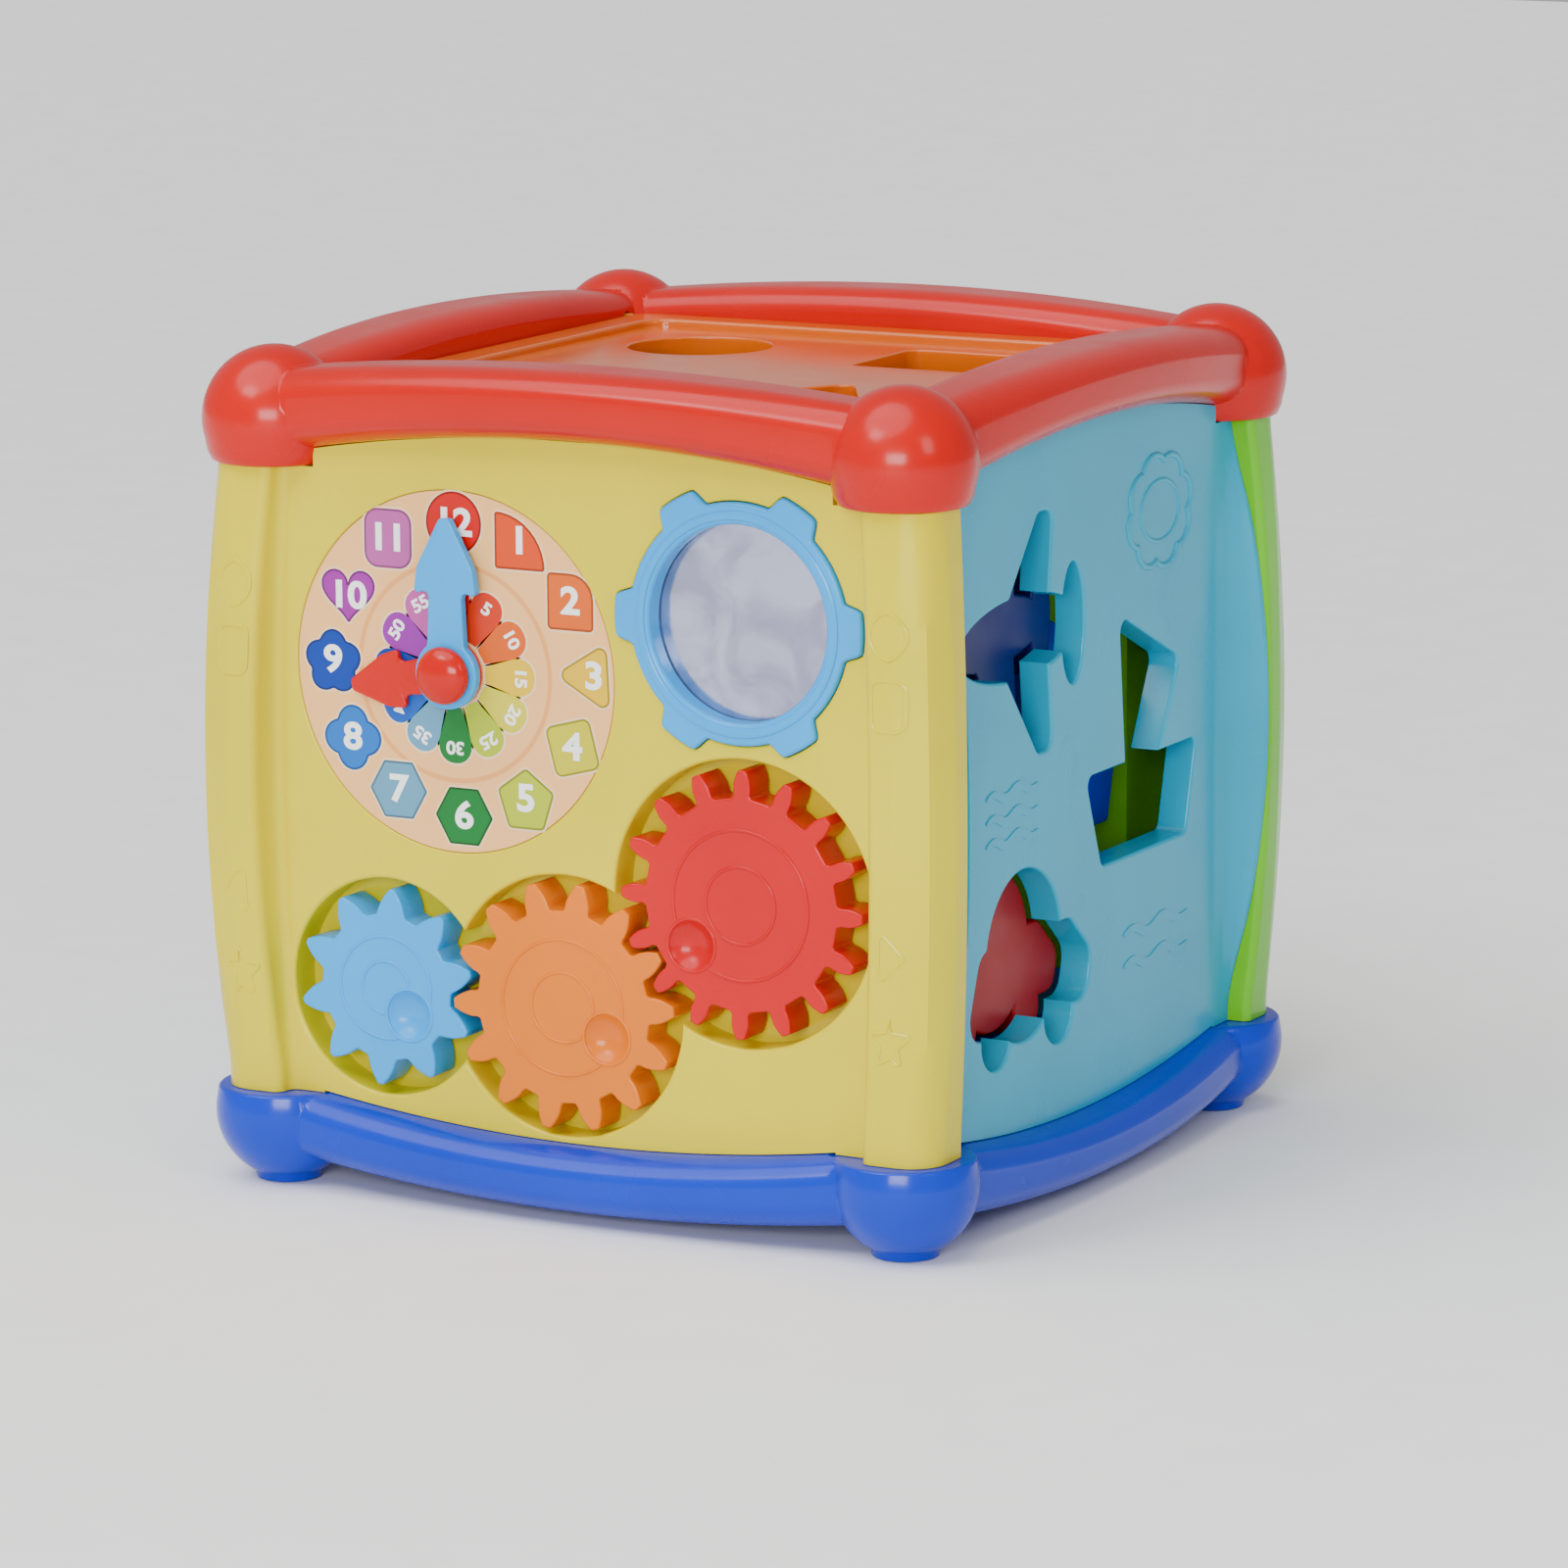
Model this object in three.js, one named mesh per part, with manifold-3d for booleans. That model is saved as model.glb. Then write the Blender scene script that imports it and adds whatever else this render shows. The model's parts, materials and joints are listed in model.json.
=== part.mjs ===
// Baby activity cube: a hollow toy box with a clock, a mirror and a gear train on its yellow face, a shape
// sorter on its right face and in its lid, a spinner, a roller and two sliders on its left face, and a
// music panel on its back. Millimetres, +Z up, origin on the table under the middle of the cube. The front
// faces -Y.
import * as THREE from 'three';
import { mergeVertices } from 'three/addons/utils/BufferGeometryUtils.js';
import Module from 'manifold-3d';

const wasm = await Module();
wasm.setup();

// ---------------------------------------------------------------- driving dimensions
const GAP = 0.3; // between neighbouring pieces
const CORNER = 75; // half the distance between corner balls
const BALL = 15.5; // corner ball radius
const FOOT_FLAT = 7; // radius of the flat that each foot stands on
const HEIGHT = 2 * (CORNER + BALL); // overall height of the cube
const MID = HEIGHT / 2; // height of the cube's centre
const WALL = 2.4; // moulded wall
const FIELD = 81; // outer surface of every face, from the cube's centre
const BACKING = FIELD - WALL; // its inner surface
const PROUD = 86; // outer surface of the corner columns at their ends
const EDGE = 70; // inner edge of the corner columns at their ends
const BOW = 3.2; // how far the columns bow out at mid height
const COLUMN_REACH = 65; // half the height over which they bow
const COLUMN_TOP = MID + 66; // lower rim of the top caps
const COLUMN_FOOT = MID - 69.5; // upper rim of the feet
const RAIL_END = 60.6; // where a rail leaves its corner cap
const RAIL_OUTER = 85;
const RAIL_INNER = 66;
const RAIL_BULGE = 4.2; // how far a rail bows outwards
const RAIL_STEPS = 6;
const RAIL_ROUND = 4.5; // corner radius of a rail's section
const TOP_RAIL = { low: MID + 67.3, high: MID + 85.6, lowRise: 8.1, highRise: 4.4 };
const FOOT_RAIL = { low: MID - 82.9, high: MID - 66.7, lowRise: -5.1, highRise: -7.3 };

const MODULE = 3.3; // of the gear train
const GEAR_FRONT = 82;
const GEAR_BACK = 73.5;
const POCKET_FLOOR = 72.9;
const GEAR_SHAFT = 4.9;
const SHAFT_HOLE = 5.2;
const ORANGE_AT = [-2.2, MID - 44.6];
const RED_DISTANCE = 49.8; // between the orange and the red gear's axes
const RED_BEARING = 0.543; // radians above the horizontal
const BLUE_DISTANCE = 43.3; // between the orange and the blue gear's axes

const CLOCK_AT = [-28.1, MID + 24.5];
const DIAL_RADIUS = 38.4;
const MIRROR_AT = [40, MID + 39.8];

const LID_HALF = 65.4;
const LID_TOP = MID + 82.1;
const LID_PLATE = 2.4;
const LID_PITCH = 30; // the lid's holes, from its middle both ways
const LID_AXIS = [61, MID + 80.4]; // y and z of the hinge pins
const FLOOR_TOP = 10.4; // of the base tray

const BATTERY_RADIUS = 7.1;
const BATTERY_X = 56.7;
const BATTERY_HEIGHT = 19.5;
const LEAD_X = 60;

// ---------------------------------------------------------------- colours
const RED = 0xf51a10;
const YELLOW = 0xffea1e;
const BLUE = 0x1f62f0;
const CYAN = 0x58c6e0;
const SKY = 0x74cdfa;
const GREEN = 0x9bea1f;
const ORANGE = 0xff9c3c;
const NAVY = 0x16309c;

// ---------------------------------------------------------------- solids
function solid(geometry) {
  const bare = geometry.clone();
  bare.deleteAttribute('normal');
  bare.deleteAttribute('uv');
  const welded = mergeVertices(bare);
  const vertProperties = new Float32Array(welded.attributes.position.array);
  const corners = welded.index.array;
  const kept = [];
  for (let i = 0; i < corners.length; i += 3) {
    const [a, b, c] = corners.slice(i, i + 3);
    if (a !== b && b !== c && c !== a) kept.push(a, b, c);
  }
  const triVerts = new Uint32Array(kept);
  return new wasm.Manifold(new wasm.Mesh({ numProp: 3, vertProperties, triVerts }));
}

function geometryOf(manifold) {
  const mesh = manifold.getMesh();
  const geometry = new THREE.BufferGeometry();
  geometry.setAttribute('position', new THREE.BufferAttribute(mesh.vertProperties, 3));
  geometry.setIndex(new THREE.BufferAttribute(mesh.triVerts, 1));
  geometry.computeVertexNormals();
  return geometry;
}

function join(...geometries) {
  return geometryOf(geometries.map(solid).reduce((all, next) => all.add(next)));
}

function cut(base, ...tools) {
  return geometryOf(tools.map(solid).reduce((rest, tool) => rest.subtract(tool), solid(base)));
}

function common(first, second) {
  return geometryOf(solid(first).intersect(solid(second)));
}

// ---------------------------------------------------------------- outlines
function ellipse(x, y, across, up, turn = 0, sides = 18) {
  const points = Array.from({ length: sides }, (_, i) => {
    const angle = (2 * Math.PI * i) / sides;
    const point = new THREE.Vector2(across * Math.cos(angle), up * Math.sin(angle));
    return point.rotateAround(new THREE.Vector2(), turn).add(new THREE.Vector2(x, y));
  });
  return new THREE.Shape(points);
}

function circle(x, y, radius, sides = 20) {
  return ellipse(x, y, radius, radius, 0, sides);
}

// A convex outline with corners rounded to a radius; a positive grow moves it outwards all round.
function rounded(points, radius, grow = 0) {
  const corners = points.map(([x, y]) => new THREE.Vector2(x, y));
  const shape = new THREE.Shape();
  corners.forEach((corner, i) => {
    const before = corners[(i + corners.length - 1) % corners.length];
    const after = corners[(i + 1) % corners.length];
    const back = before.clone().sub(corner).normalize();
    const on = after.clone().sub(corner).normalize();
    const half = back.angleTo(on) / 2;
    const middle = back.clone().add(on).normalize();
    const size = Math.max(0.3, radius + grow);
    const centre = corner.clone().addScaledVector(middle, (size - grow) / Math.sin(half));
    const from = Math.atan2(back.x, -back.y);
    const to = Math.atan2(-on.x, on.y);
    shape.absarc(centre.x, centre.y, size, from, to, false);
  });
  return shape;
}

function rectangle(left, bottom, right, top, radius = 1, grow = 0) {
  return rounded([[left, bottom], [right, bottom], [right, top], [left, top]], radius, grow);
}

// ---------------------------------------------------------------- placing
const FACE = { front: 0, right: Math.PI / 2, back: Math.PI, left: -Math.PI / 2 };

// A flat piece on a face: the outline's x runs along the face and its y is the height.
function slab(shape, inner, outer, face = 'front', curveSegments = 2) {
  const options = { depth: outer - inner, bevelEnabled: false, curveSegments };
  const geometry = new THREE.ExtrudeGeometry(shape, options);
  geometry.rotateX(Math.PI / 2);
  geometry.translate(0, -inner, 0);
  geometry.rotateZ(FACE[face]);
  return geometry;
}

// A flat piece that lies level, between two heights.
function plate(shape, low, high, curveSegments = 2) {
  const options = { depth: high - low, bevelEnabled: false, curveSegments };
  const geometry = new THREE.ExtrudeGeometry(shape, options);
  geometry.translate(0, 0, low);
  return geometry;
}

// A turned piece on a face: the profile holds [radius, distance out from the cube's centre].
function turned(profile, x, height, face = 'front', segments = 20) {
  const points = profile.map(([radius, out]) => new THREE.Vector2(radius, out));
  const geometry = new THREE.LatheGeometry(points, segments);
  geometry.rotateX(Math.PI);
  geometry.translate(x, 0, height);
  const place = new THREE.Matrix4().makeRotationZ(FACE[face]);
  geometry.applyMatrix4(place);
  return geometry;
}

// A disc or rod on a face, standing out from one distance to another.
function rod(x, height, radius, inner, outer, face = 'front', segments = 20) {
  const geometry = new THREE.CylinderGeometry(radius, radius, outer - inner, segments);
  geometry.rotateX(Math.PI);
  geometry.translate(x, -(inner + outer) / 2, height);
  geometry.rotateZ(FACE[face]);
  return geometry;
}

// An upright rod.
function post(x, y, radius, low, high, segments = 10) {
  const geometry = new THREE.CylinderGeometry(radius, radius, high - low, segments);
  geometry.rotateX(Math.PI / 2);
  geometry.translate(x, y, (low + high) / 2);
  return geometry;
}

function box(low, high) {
  const size = high.map((value, i) => value - low[i]);
  const geometry = new THREE.BoxGeometry(...size);
  geometry.translate(...high.map((value, i) => (value + low[i]) / 2));
  return geometry;
}

const cube = new THREE.Group();

function add(name, geometry, color, roughness = 0.32, metalness = 0, opacity = 1) {
  const material = new THREE.MeshStandardMaterial({ color, roughness, metalness });
  material.transparent = opacity < 1;
  material.opacity = opacity;
  const mesh = new THREE.Mesh(geometry, material);
  mesh.name = name;
  cube.add(mesh);
  return mesh;
}

// ---------------------------------------------------------------- bowing
function smooth(t) {
  const x = Math.min(1, Math.max(0, t));
  return x * x * (3 - 2 * x);
}

function bowAt(z) {
  return Math.max(0, 1 - ((z - MID) / COLUMN_REACH) ** 2);
}

// The columns bow outwards at mid height, and the flat field between them only follows at its edges.
function bowColumns(geometry) {
  const place = geometry.attributes.position;
  const corner = (t) => smooth((t - 60) / 10);
  const offField = (t) => 1 - smooth((t - 76) / (BACKING - 76)) + smooth((t - FIELD) / 3);
  for (let i = 0; i < place.count; i += 1) {
    const x = place.getX(i);
    const y = place.getY(i);
    const reach = BOW * bowAt(place.getZ(i)) * corner(Math.abs(x)) * corner(Math.abs(y));
    place.setX(i, x + Math.sign(x) * reach * offField(Math.abs(x)));
    place.setY(i, y + Math.sign(y) * reach * offField(Math.abs(y)));
  }
  return geometry;
}

// How far along its arch a rail has risen: a parabola in straight steps, so that what butts on it fits.
function rise(along) {
  const step = (2 * CORNER) / RAIL_STEPS;
  const parabola = (at) => 1 - (at / CORNER) ** 2;
  const start = Math.floor(along / step) * step;
  const share = (along - start) / step;
  return parabola(start) * (1 - share) + parabola(start + step) * share;
}

// ---------------------------------------------------------------- frames
// A rail is a straight rounded bar, bent outwards and up or down in the middle.
function rail(section, face) {
  const bar = rectangle(-RAIL_OUTER, section.low, -RAIL_INNER, section.high, RAIL_ROUND);
  const options = { depth: 2 * CORNER, steps: RAIL_STEPS, bevelEnabled: false, curveSegments: 1 };
  const geometry = new THREE.ExtrudeGeometry(bar, options);
  geometry.translate(0, 0, -CORNER);
  geometry.rotateX(Math.PI / 2);
  geometry.rotateZ(Math.PI / 2);
  const place = geometry.attributes.position;
  for (let i = 0; i < place.count; i += 1) {
    const along = place.getX(i);
    const height = place.getZ(i);
    const out = (-place.getY(i) - RAIL_INNER) / (RAIL_OUTER - RAIL_INNER);
    const up = (height - section.low) / (section.high - section.low);
    const lift = section.lowRise + (section.highRise - section.lowRise) * up;
    place.setY(i, place.getY(i) - RAIL_BULGE * smooth(out) * rise(along));
    place.setZ(i, height + lift * rise(along));
  }
  geometry.rotateZ(FACE[face]);
  return geometry;
}

function cornerCap(x, y, profile) {
  const points = profile.map(([radius, height]) => new THREE.Vector2(radius, height));
  const geometry = new THREE.LatheGeometry(points, 12);
  geometry.rotateX(Math.PI / 2);
  geometry.translate(x, y, 0);
  return geometry;
}

function arcPoints(radius, centre, from, to, steps) {
  return Array.from({ length: steps + 1 }, (_, i) => {
    const angle = from + ((to - from) * i) / steps;
    return [radius * Math.cos(angle), centre + radius * Math.sin(angle)];
  });
}

const TOP_BALL = HEIGHT - BALL;
const capProfile = [[0, COLUMN_TOP], [13.6, COLUMN_TOP], [14.6, COLUMN_TOP + 2.4]];
capProfile.push(...arcPoints(BALL, TOP_BALL, -0.2, Math.PI / 2 - 0.2, 4), [0, HEIGHT]);
const footProfile = [[0, 0], [FOOT_FLAT, 0], ...arcPoints(BALL, BALL, -Math.PI / 2 + 0.55, 0.1, 4)];
footProfile.push([14.9, COLUMN_FOOT], [0, COLUMN_FOOT]);
const CORNERS = [[-CORNER, -CORNER], [CORNER, -CORNER], [CORNER, CORNER], [-CORNER, CORNER]];
const FACES = Object.keys(FACE);

function frame(section, profile) {
  const caps = CORNERS.map(([x, y]) => cornerCap(x, y, profile));
  return [...FACES.map((face) => rail(section, face)), ...caps];
}

const SCREW_AT = 76; // corner screws, from the cube's centre both ways
const screwPlaces = CORNERS.map(([x, y]) => [Math.sign(x) * SCREW_AT, Math.sign(y) * SCREW_AT]);

const STOP_TOP = LID_TOP - 4.3; // of the two ledges that the lid's front edge rests on
const lidStops = [-40, 40].map((x) => box([x - 6, -RAIL_INNER - 2, STOP_TOP - 2.5], [x + 6, -62, STOP_TOP]));
const pinHoles = [-1, 1].map((side) => {
  const hole = new THREE.CylinderGeometry(2.4, 2.4, 8, 20);
  hole.rotateZ(Math.PI / 2);
  hole.translate(side * 67, ...LID_AXIS);
  return hole;
});
const topFrame = join(...frame(TOP_RAIL, capProfile), ...lidStops);
add('top_frame', cut(topFrame, ...pinHoles), RED, 0.25);

// ---------------------------------------------------------------- battery box and base tray
const BATTERY_BOX = { left: 47.4, right: 66, front: -60, back: 51, top: MID - 56.7 };
const DOOR = { left: 48.9, right: 64.5, front: -58.5, back: 49.5, low: 5.6, high: 7.6 };

function baseTray() {
  const { left, right, front, back, top } = BATTERY_BOX;
  const floor = box([-68, -68, FLOOR_TOP - WALL], [68, 68, FLOOR_TOP]);
  const shell = box([left, front, 5.6], [right, back, top]);
  const hollow = box([left + 2, front + 2, 9.6], [right - 2, back - 2, top - 2]);
  const mouth = box([left + 2.6, front + 4, 0], [right - 2.6, back - 4, 12]);
  const recess = box(
    [DOOR.left - GAP, DOOR.front - GAP, 0],
    [DOOR.right + GAP, DOOR.back + GAP, DOOR.high + GAP],
  );
  const leadHole = new THREE.CylinderGeometry(2.2, 2.2, 6, 12);
  leadHole.translate(LEAD_X, back - 1, 24);
  const tray = join(...frame(FOOT_RAIL, footProfile), floor, shell);
  const bores = screwPlaces.flatMap(([x, y]) => [post(x, y, 4, -1, 14), post(x, y, 1.9, 13, 22)]);
  const seats = CORNERS.map(([x, y]) => box(
    [x < 0 ? -95 : RAIL_END, y < 0 ? -95 : RAIL_END, COLUMN_FOOT],
    [x < 0 ? -RAIL_END : 95, y < 0 ? -RAIL_END : 95, COLUMN_FOOT + 9],
  ));
  return cut(tray, hollow, mouth, recess, leadHole, ...bores, ...seats);
}

add('base_tray', baseTray(), BLUE, 0.25);

screwPlaces.forEach(([x, y], i) => {
  const screw = join(post(x, y, 3.2, 11.4, 13.7), post(x, y, 1.4, 13.2, 34, 8));
  add(`base_screw_${i + 1}`, screw, 0xb8bcc2, 0.35, 1);
});

const door = box([DOOR.left, DOOR.front, DOOR.low], [DOOR.right, DOOR.back, DOOR.high]);
const DOOR_SCREW = [(DOOR.left + DOOR.right) / 2, DOOR.back - 2.6];
add('battery_door', cut(door, post(...DOOR_SCREW, 1.6, 0, 12), post(...DOOR_SCREW, 3, 0, 6.9)), BLUE, 0.4);
const doorScrew = join(post(...DOOR_SCREW, 2.6, 5.7, 6.6), post(...DOOR_SCREW, 1.2, 6.3, 7.5));
add('battery_door_screw', doorScrew, 0xb8bcc2, 0.35, 1);

const BATTERY_MIDDLES = [-29.6, 21.4];
BATTERY_MIDDLES.forEach((middle, i) => {
  const can = [[0, -24.5], [BATTERY_RADIUS, -24.5], [BATTERY_RADIUS, 24.5]];
  const profile = [...can, [2.7, 24.5], [2.7, 25.7], [0, 25.7]];
  const cell = new THREE.LatheGeometry(profile.map(([r, h]) => new THREE.Vector2(r, h)), 14);
  cell.translate(BATTERY_X, middle, BATTERY_HEIGHT);
  add(`battery_${i + 1}`, cell, 0x2b6f3a, 0.4, 0.2);
});
const spring = new THREE.CylinderGeometry(2.4, 4, 3, 12);
spring.translate(BATTERY_X, -56, BATTERY_HEIGHT);
add('contact_spring', spring, 0xc9ccd0, 0.3, 1);
add('contact_plate', box([BATTERY_X - 5, 47.7, 15], [BATTERY_X + 5, 48.4, 26]), 0xc9ccd0, 0.3, 1);

// ---------------------------------------------------------------- column shells
// Half of a shell's level section: the field, the step up to the column, the column and its side wall.
function shellSection() {
  const bevel = 1.4;
  const big = 8;
  const corner = (side, radius) => [0, 1, 2, 3].map((i) => {
    const angle = ((i * 30 - 90) * Math.PI) / 180;
    return [side * (PROUD - big + radius * Math.cos(angle)), -PROUD + big + radius * Math.sin(angle)];
  });
  const half = (side) => [
    [side * (EDGE - bevel), -FIELD],
    [side * EDGE, -FIELD - bevel],
    [side * EDGE, -PROUD + bevel],
    [side * (EDGE + bevel), -PROUD],
    ...corner(side, big),
    [side * PROUD, -EDGE - bevel],
    [side * (PROUD - bevel), -EDGE],
    [side * (BACKING + 0.4), -EDGE],
    [side * (BACKING + 0.4), -EDGE - WALL],
    [side * (PROUD - WALL), -EDGE - WALL],
    ...corner(side, big - WALL).reverse(),
    [side * (EDGE + WALL), -PROUD + WALL],
    [side * (EDGE + WALL), -BACKING],
  ];
  const points = [...half(1), ...half(-1).reverse()];
  const shape = new THREE.Shape(points.map(([x, y]) => new THREE.Vector2(x, y)));
  return shape;
}

// The outline that a face fills between the rails and between the corner caps.
function faceOutline(halfWidth) {
  const shape = new THREE.Shape();
  const step = (2 * CORNER) / RAIL_STEPS;
  const top = (x) => TOP_RAIL.low + TOP_RAIL.lowRise * rise(x) - GAP;
  const bottom = (x) => FOOT_RAIL.high + FOOT_RAIL.highRise * rise(x) + GAP;
  const across = [-RAIL_END];
  for (let x = step - CORNER; x < RAIL_END; x += step) across.push(x);
  across.push(RAIL_END);
  shape.moveTo(-halfWidth, COLUMN_FOOT + GAP);
  shape.lineTo(-RAIL_END, COLUMN_FOOT + GAP);
  across.forEach((x) => shape.lineTo(x, bottom(x)));
  shape.lineTo(RAIL_END, COLUMN_FOOT + GAP);
  shape.lineTo(halfWidth, COLUMN_FOOT + GAP);
  shape.lineTo(halfWidth, COLUMN_TOP - GAP);
  shape.lineTo(RAIL_END, COLUMN_TOP - GAP);
  across.reverse().forEach((x) => shape.lineTo(x, top(x)));
  shape.lineTo(-RAIL_END, COLUMN_TOP - GAP);
  shape.lineTo(-halfWidth, COLUMN_TOP - GAP);
  return shape;
}

// Everything between the rails and the caps, from well inside a face to well outside it.
function faceSlab() {
  return slab(faceOutline(95), 60, 95);
}

const TALL = 150;

function columnShell(face) {
  const options = { depth: TALL, steps: 7, bevelEnabled: false };
  const walls = new THREE.ExtrudeGeometry(shellSection(), options);
  walls.translate(0, 0, MID - TALL / 2);
  bowColumns(walls);
  const trimmed = common(walls, faceSlab());
  const bosses = [-SCREW_AT, SCREW_AT].map((x) => post(x, -SCREW_AT, 4.4, COLUMN_FOOT + GAP, 40));
  const holes = [-SCREW_AT, SCREW_AT].map((x) => post(x, -SCREW_AT, 1.7, 0, 36));
  const shell = cut(join(trimmed, ...bosses), ...holes);
  shell.rotateZ(FACE[face]);
  return shell;
}

// ---------------------------------------------------------------- gears
function involute(angle) {
  return Math.tan(angle) - angle;
}

// An involute gear outline around the origin, with one tooth centred on the angle phase.
function gearOutline(teeth, shift, tip, root, phase) {
  const pressure = Math.PI / 9;
  const pitch = (MODULE * teeth) / 2;
  const base = pitch * Math.cos(pressure);
  const backlash = 0.75;
  const thickness = MODULE * (Math.PI / 2 + 2 * shift * Math.tan(pressure)) - backlash;
  const half = (radius) => {
    const at = Math.acos(Math.min(1, base / Math.max(radius, base)));
    return thickness / (2 * pitch) + involute(pressure) - involute(at);
  };
  const radii = [root, root + (tip - root) * 0.45, root + (tip - root) * 0.8, tip];
  const shape = new THREE.Shape();
  for (let i = 0; i < teeth; i += 1) {
    const middle = phase + (2 * Math.PI * i) / teeth;
    const flank = radii.map((radius) => [radius, Math.max(half(radius), 0.35 / radius)]);
    flank[0][1] += 0.02;
    const point = ([radius, angle], side) => {
      const at = middle + side * angle;
      return [radius * Math.cos(at), radius * Math.sin(at)];
    };
    const ends = [...flank.map((f) => point(f, -1)), ...flank.reverse().map((f) => point(f, 1))];
    ends.forEach(([x, y], k) => (i + k === 0 ? shape.moveTo(x, y) : shape.lineTo(x, y)));
  }
  shape.closePath();
  return shape;
}

const RED_AT = [
  ORANGE_AT[0] + RED_DISTANCE * Math.cos(RED_BEARING),
  ORANGE_AT[1] + RED_DISTANCE * Math.sin(RED_BEARING),
];
const BLUE_AT = [ORANGE_AT[0] - BLUE_DISTANCE, ORANGE_AT[1]];
const ORANGE_TEETH = 14;
const RED_TEETH = 16;
const BLUE_TEETH = 10;
const ORANGE_PHASE = Math.PI + 0.06;
// A tooth of a gear stands where the orange gear has a gap, on the line between the two axes.
const meshPhase = (bearing, teeth) => {
  const ahead = (bearing - ORANGE_PHASE) * (ORANGE_TEETH / teeth);
  return bearing + Math.PI + ahead + Math.PI / teeth;
};
const GEARS = [
  { name: 'gear_red', at: RED_AT, teeth: RED_TEETH, phase: meshPhase(RED_BEARING, RED_TEETH),
    shift: -0.35, tip: 28.4, root: 22.6, dimple: [-11.6, -9.4], pocket: 30.4, color: RED },
  { name: 'gear_orange', at: ORANGE_AT, teeth: ORANGE_TEETH, phase: ORANGE_PHASE,
    shift: 0.4, tip: 26.7, root: 20.7, dimple: [10.6, -5.6], pocket: 28, color: ORANGE },
  { name: 'gear_blue', at: BLUE_AT, teeth: BLUE_TEETH, phase: meshPhase(Math.PI, BLUE_TEETH),
    shift: 0.95, tip: 21.4, root: 15.9, dimple: [5.7, -5.5], pocket: 23.4, color: SKY },
];

function gear(spec) {
  const [x, z] = spec.at;
  const outline = gearOutline(spec.teeth, spec.shift, spec.tip, spec.root, spec.phase);
  const body = slab(outline, GEAR_BACK, GEAR_FRONT);
  body.translate(x, 0, z);
  const shaft = rod(x, z, GEAR_SHAFT, 68.2, GEAR_BACK + 1, 'front', 16);
  const dimple = new THREE.SphereGeometry(6.6, 12, 8);
  dimple.translate(x + spec.dimple[0], -GEAR_FRONT - 3.7, z + spec.dimple[1]);
  return cut(join(body, shaft), dimple, rod(x, z, 1.6, 60, 79, 'front', 8));
}

GEARS.forEach((spec) => add(spec.name, gear(spec), spec.color, 0.3));
GEARS.forEach((spec) => {
  const washer = rod(...spec.at, 7.4, 66.2, 67.9, 'front', 14);
  const shank = rod(...spec.at, 1.3, 67.5, 77, 'front', 8);
  const head = rod(...spec.at, 3, 64.2, 66.6, 'front', 8);
  add(`${spec.name}_screw`, join(washer, shank, head), 0xb8bcc2, 0.35, 1);
});

// ---------------------------------------------------------------- front face
function bezelOutline(grow) {
  const shape = new THREE.Shape();
  const steps = 48;
  for (let i = 0; i < steps; i += 1) {
    const angle = (2 * Math.PI * i) / steps;
    const lobe = Math.abs(((angle * 6) / (2 * Math.PI) + 0.5) % 1 - 0.5) * 60;
    const radius = 25.3 + 3.6 * (1 - smooth((lobe - 8) / 6)) + grow;
    const x = MIRROR_AT[0] + radius * Math.cos(angle);
    const y = MIRROR_AT[1] + radius * Math.sin(angle);
    if (i === 0) shape.moveTo(x, y);
    else shape.lineTo(x, y);
  }
  shape.closePath();
  return shape;
}

function frontPanel() {
  const shell = columnShell('front');
  const cupBack = POCKET_FLOOR - 2.2;
  const wholeCups = GEARS.map((spec) => rod(...spec.at, spec.pocket + 2, cupBack, FIELD - 0.2, 'front', 24));
  const cups = common(join(...wholeCups), faceSlab());
  const pockets = GEARS.map((spec) => rod(...spec.at, spec.pocket, POCKET_FLOOR, 90, 'front', 28));
  const shaftHoles = GEARS.map((spec) => rod(...spec.at, SHAFT_HOLE, 60, 80, 'front', 20));
  const dialSeat = rod(...CLOCK_AT, DIAL_RADIUS + 0.4, FIELD - 1.2, 90, 'front', 32);
  const postHole = rod(...CLOCK_AT, 3.4, 60, 90, 'front', 20);
  const mirrorHole = slab(bezelOutline(GAP), 60, 90);
  return cut(join(shell, cups), ...pockets, ...shaftHoles, dialSeat, postHole, mirrorHole);
}

add('front_panel', frontPanel(), YELLOW);

const dial = slab(circle(...CLOCK_AT, DIAL_RADIUS, 32), FIELD - 0.9, FIELD - 0.3);
add('clock_dial', cut(dial, rod(...CLOCK_AT, 3.6, 60, 90, 'front', 20)), 0xf5cf98, 0.5);

const clockPost = turned(
  [[0, 70.4], [2.9, 70.4], [2.9, 84.9], [6, 84.9], [6, 86], [5.1, 87.5], [3.2, 88.5], [0, 88.9]],
  ...CLOCK_AT, 'front', 24,
);
add('clock_post', clockPost, RED, 0.2);
const clip = rod(...CLOCK_AT, 6.4, 73.2, BACKING - GAP, 'front', 16);
add('clock_washer', cut(clip, rod(...CLOCK_AT, 3.2, 60, 90, 'front', 16)), 0xe8e8e8, 0.4);

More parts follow.
